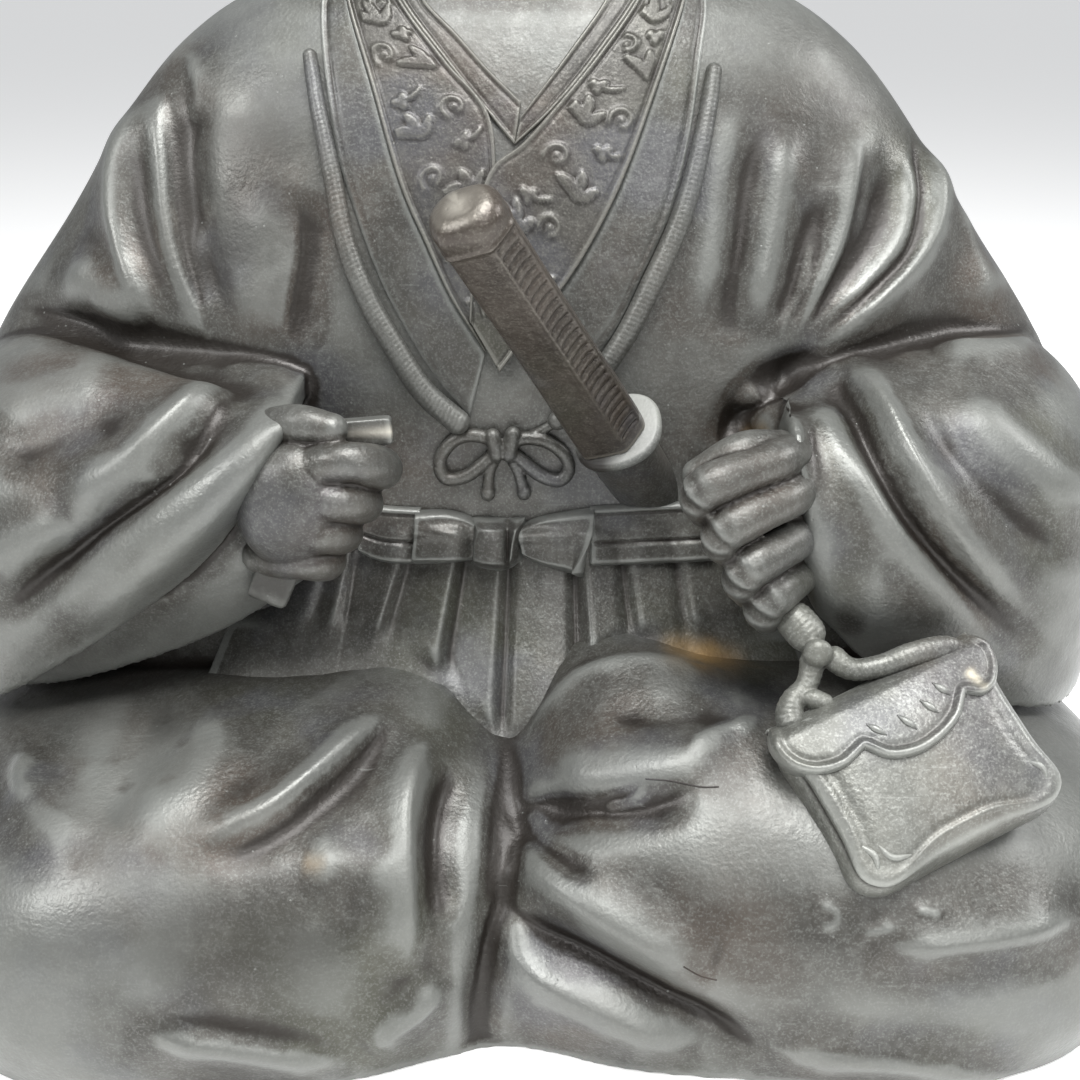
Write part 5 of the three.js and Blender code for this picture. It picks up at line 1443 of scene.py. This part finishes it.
# The strap is forked: one broad loop comes out of the fist, two branches run to the flap's upper corners. It
# is a twisted strap cast in bronze with the pouch and worn pale like it.
# Rows: places along a branch, radii along it.
STRAP = [
    ([(68, -103, 106.5), (72.5, -107, 102.5), (76.2, -111, 98.5)], [4.4, 4.9, 4.6]),
    ([
        (75.5, -111, 98), (73.4, -115.2, 91),
        *from_pouch([(-19, 28, 2), (-22.5, 24, 3), (-23, 20, 2)]),
    ], [3.6, 2.9, 2.8, 3.5, 3.2]),
    ([(72.6, -115.8, 90), *from_pouch([(-15, 26.5, 3.5), (-11, 22, 3)])], [2.2, 2.6, 2.4]),
    ([
        (78, -111, 98),
        *from_pouch([(-3, 28.5, 5), (4, 25.6, 5.4), (12, 24.4, 7), (21, 22.4, 6.6), (26, 19, 4)]),
    ], [3.4, 2.8, 2.9, 3.1, 3.0, 2.2]),
]
STRAP_BOSS = (75.6, -114.6, 99), (3.7, 2.6, 3.7)  # the lump where the branches meet
STRAP_STEP, STRAP_DEEP = 1.5, 0.07
STRAP_OUT = np.array([0, -0.8, 0.6])
STRAP_VOXEL = 0.4
branches = []
for line, radii in STRAP:
    faced = np.tile(STRAP_OUT, (len(line), 1))
    branches.append(rope(np.array(line), faced, radii, STRAP_STEP, STRAP_DEEP))
straps = fused("strap", [*branches, ball(*STRAP_BOSS)], STRAP_VOXEL, 1)
finish_piece(straps, worn_bronze, "pouch_and_strap", 8)


# The short sword stands out of the belt: a ribbed hilt of dark bronze with a worn cap, and a plate guard of a
# paler alloy, each made on its own. The scabbard's mouth is cast with the body.
GUARD_AT = np.array([25.8, -72, 142])
POMMEL_AT = np.array([-10.5, -119, 208.5])
HILT_LENGTH = np.linalg.norm(POMMEL_AT - GUARD_AT)
HILT_DIRECTION = (POMMEL_AT - GUARD_AT) / HILT_LENGTH
HILT_ACROSS = unit(ACROSS - HILT_DIRECTION[0] * HILT_DIRECTION)
HILT_AXES = np.stack([HILT_ACROSS, np.cross(HILT_DIRECTION, HILT_ACROSS), HILT_DIRECTION])
GUARD_THICK = 3.4
GUARD_SHIFT = 1.8  # the guard stands out more on the figure's left
HILT_FOOT = GUARD_THICK / 2 + 0.35
# Rows along the sword: place along, half width, half thickness.
HILT = [
    (HILT_FOOT, 10.4, 9.4), (HILT_FOOT + 4, 10.4, 9.4), (0.3 * HILT_LENGTH, 9.9, 9),
    (0.6 * HILT_LENGTH, 9.5, 8.7), (0.88 * HILT_LENGTH, 9.3, 8.6), (HILT_LENGTH - 4, 9, 8.2),
    (HILT_LENGTH - 1.6, 7.9, 7.1), (HILT_LENGTH - 0.4, 6.1, 5.3), (HILT_LENGTH, 4.4, 3.8),
]
GUARD = [
    (-1.7, 11, 10.4), (-1.2, 11.8, 11.2), (-0.4, 12.1, 11.5), (0.4, 12.1, 11.5), (1.2, 11.8, 11.2),
    (1.7, 11, 10.4),
]
SCABBARD = [(-38, 6.5, 5), (-30, 8.6, 6.6), (-2.2, 9.4, 7.6)]
ROD_SIDES = 160
OVAL_SQUARE = 0.85
RIDGE_TURN = math.radians(-67)  # the hilt has six soft edges, one of them turned to the front
RIDGE_HARD = 0.8
RIDGE_SOFT = np.radians(np.linspace(-6, 6, 7))
RIB_STEP, RIB_DEEP, RIB_BEND = 2.9, 0.55, 0.35  # millimetres, and the bend as a share of the step
CAP_LENGTH = 9
CAP_FOOT = HILT_LENGTH - CAP_LENGTH


def six_sided(turns, along):
    """Reach of a softened six-sided section, rounder at the cap."""
    sixth = math.pi / 3
    spread = [(turns + soft - RIDGE_TURN) % sixth for soft in RIDGE_SOFT]
    reach = np.mean([math.cos(sixth / 2) / np.cos(turn - sixth / 2) for turn in spread], axis=0)
    return 1 + RIDGE_HARD * (1 - 0.7 * smoothstep(along, CAP_FOOT, HILT_LENGTH - 3)) * (reach - 1)


def oval_rod(name, rows, count, shift=0.0, section=None, ripple=None):
    """A rod along the sword through its rows, from the first to the last."""
    turns = np.linspace(0, 2 * math.pi, ROD_SIDES, endpoint=False)
    rings = []
    for along in np.linspace(rows[0][0], rows[-1][0], count):
        lift = ripple(along, turns) if ripple else 0
        reach = section(turns, along) if section else 1
        wide, thick = [reach * (half + lift) for half in flow(rows, along)[0]]
        x = wide * power(np.cos(turns), OVAL_SQUARE) + shift
        y = thick * power(np.sin(turns), OVAL_SQUARE)
        rings.append(np.stack([x, y, np.full_like(turns, along)], 1) @ HILT_AXES + GUARD_AT)
    return loft(name, np.array(rings))


def ribs(along, turns):
    """Bent grooves across the faces on the figure's left, between two rims. All the rest is plain."""
    face = np.degrees(turns - RIDGE_TURN) % 360
    place = (face % 60 - 30) / 30
    ribbed = smoothstep(along, HILT_FOOT + 3, HILT_FOOT + 5) * smoothstep(CAP_FOOT - along, 0, 1.5)
    inside = ribbed * smoothstep(1 - np.abs(place), 0.14, 0.26) * (face < 180)
    step = (along / RIB_STEP + RIB_BEND * place**2) % 1 - 0.5
    edges = 0.3 * ribbed * bump(np.abs(place) - 0.9, 0.09) * (face < 180)
    cap_rim = 0.5 * bump(along - (CAP_FOOT + 1.2), 0.6)
    return cap_rim + edges - RIB_DEEP * inside * bump(step, 0.17)


def guard_painted_shadow(made):
    """The guard is painted dark as the hilt's shadow on the side toward the figure's right."""
    return smoothstep(-(points_of(made) - GUARD_AT) @ HILT_ACROSS, -3, 3)


CAP_BARE = [([(452, 206), (462, 198)], 0.6, (8, 8))]
DARK_SHADES = (0.02, 0.015, 0.011), (0.055, 0.044, 0.035), (0.17, 0.155, 0.13)
PALE_SHADES = (0.08, 0.076, 0.068), (0.2, 0.205, 0.185), (0.32, 0.32, 0.3)
hilt = oval_rod("hilt", HILT, 240, section=six_sided, ripple=ribs)
stain_and_painted_light(hilt, "bare", CAP_BARE)
guard = oval_rod("guard", GUARD, 16, GUARD_SHIFT)
# Painted shadow of the hilt on the guard.
store(guard, "painted_shadow", guard_painted_shadow(guard))
scabbard = oval_rod("scabbard", SCABBARD, 40)
dark_bronze = patina("dark bronze patina", *DARK_SHADES, 0.34)
pale_alloy = patina("pale alloy patina", *PALE_SHADES, 0.6, 0.15)
finish_piece(scabbard, bronze, "robed_body", 4)
finish_piece(hilt, dark_bronze, "sword_hilt", 6)
finish_piece(guard, pale_alloy, "sword_guard", 2)


# The figure stands on a pale sheet of paper that runs out of sight on all sides. The sheet glows a little, so
# that it comes out nearly white under the figure.
FLOOR_HALF = 20.0  # metres
FLOOR_SIGNS = [(-1, -1), (1, -1), (1, 1), (-1, 1)]
floor_mesh = bpy.data.meshes.new("floor")
floor_mesh.from_pydata([(FLOOR_HALF * x, FLOOR_HALF * y, 0) for x, y in FLOOR_SIGNS], [], [(0, 1, 2, 3)])
floor = linked("floor", floor_mesh)
paper = bpy.data.materials.new("pale paper")
paper.use_nodes = True
sheet = paper.node_tree.nodes["Principled BSDF"].inputs
sheet["Base Color"].default_value = (0.85, 0.85, 0.84, 1)
sheet["Roughness"].default_value = 0.9
sheet["Emission Color"].default_value = (1, 1, 1, 1)
sheet["Emission Strength"].default_value = 0.4
floor_mesh.materials.append(paper)


# Soft light comes from all round, as in a studio tent, and from four lamps: a large one overhead, one on each
# side and one in front.
TENT_COLOUR, TENT_STRENGTH = (0.93, 0.96, 1.0, 1), 0.33
world = bpy.data.worlds.new("tent")
bpy.context.scene.world = world
world.use_nodes = True
tent = world.node_tree.nodes["Background"].inputs
tent["Color"].default_value = TENT_COLOUR
tent["Strength"].default_value = TENT_STRENGTH

# Lamps: place, watts, size, all aimed at the chest (metres).
LAMPS = [
    ((0.05, -0.38, 1.25), 23, 0.7), ((-0.8, -0.5, 0.8), 5, 0.3), ((0.85, 0.0, 0.75), 5, 0.35),
    ((0.45, -1.0, 0.8), 4, 0.5),
]
CHEST = Vector((0, 0, 0.15))
for place, watts, size in LAMPS:
    lamp = bpy.data.lights.new("lamp", "AREA")
    lamp.energy, lamp.size = watts, size
    holder = linked("lamp", lamp)
    holder.location = place
    holder.rotation_euler = (CHEST - Vector(place)).to_track_quat("-Z", "Y").to_euler()


# The camera stands where the drawing board's eye is, in front of the figure and above it. Tones are shown as
# they are, so that the pale floor comes out white.
SENSOR_WIDTH = 36
camera = bpy.data.cameras.new("camera")
camera.sensor_width = SENSOR_WIDTH
camera.lens = SENSOR_WIDTH * BOARD_DISTANCE / (2 * BOARD_MIDDLE)
holder = linked("camera", camera)
holder.location = (EYE + SPINE) * MILLIMETRE
holder.rotation_euler = (math.pi / 2 - SIGHT_TILT, 0, 0)
bpy.context.scene.camera = holder
bpy.context.scene.view_settings.view_transform = "Standard"
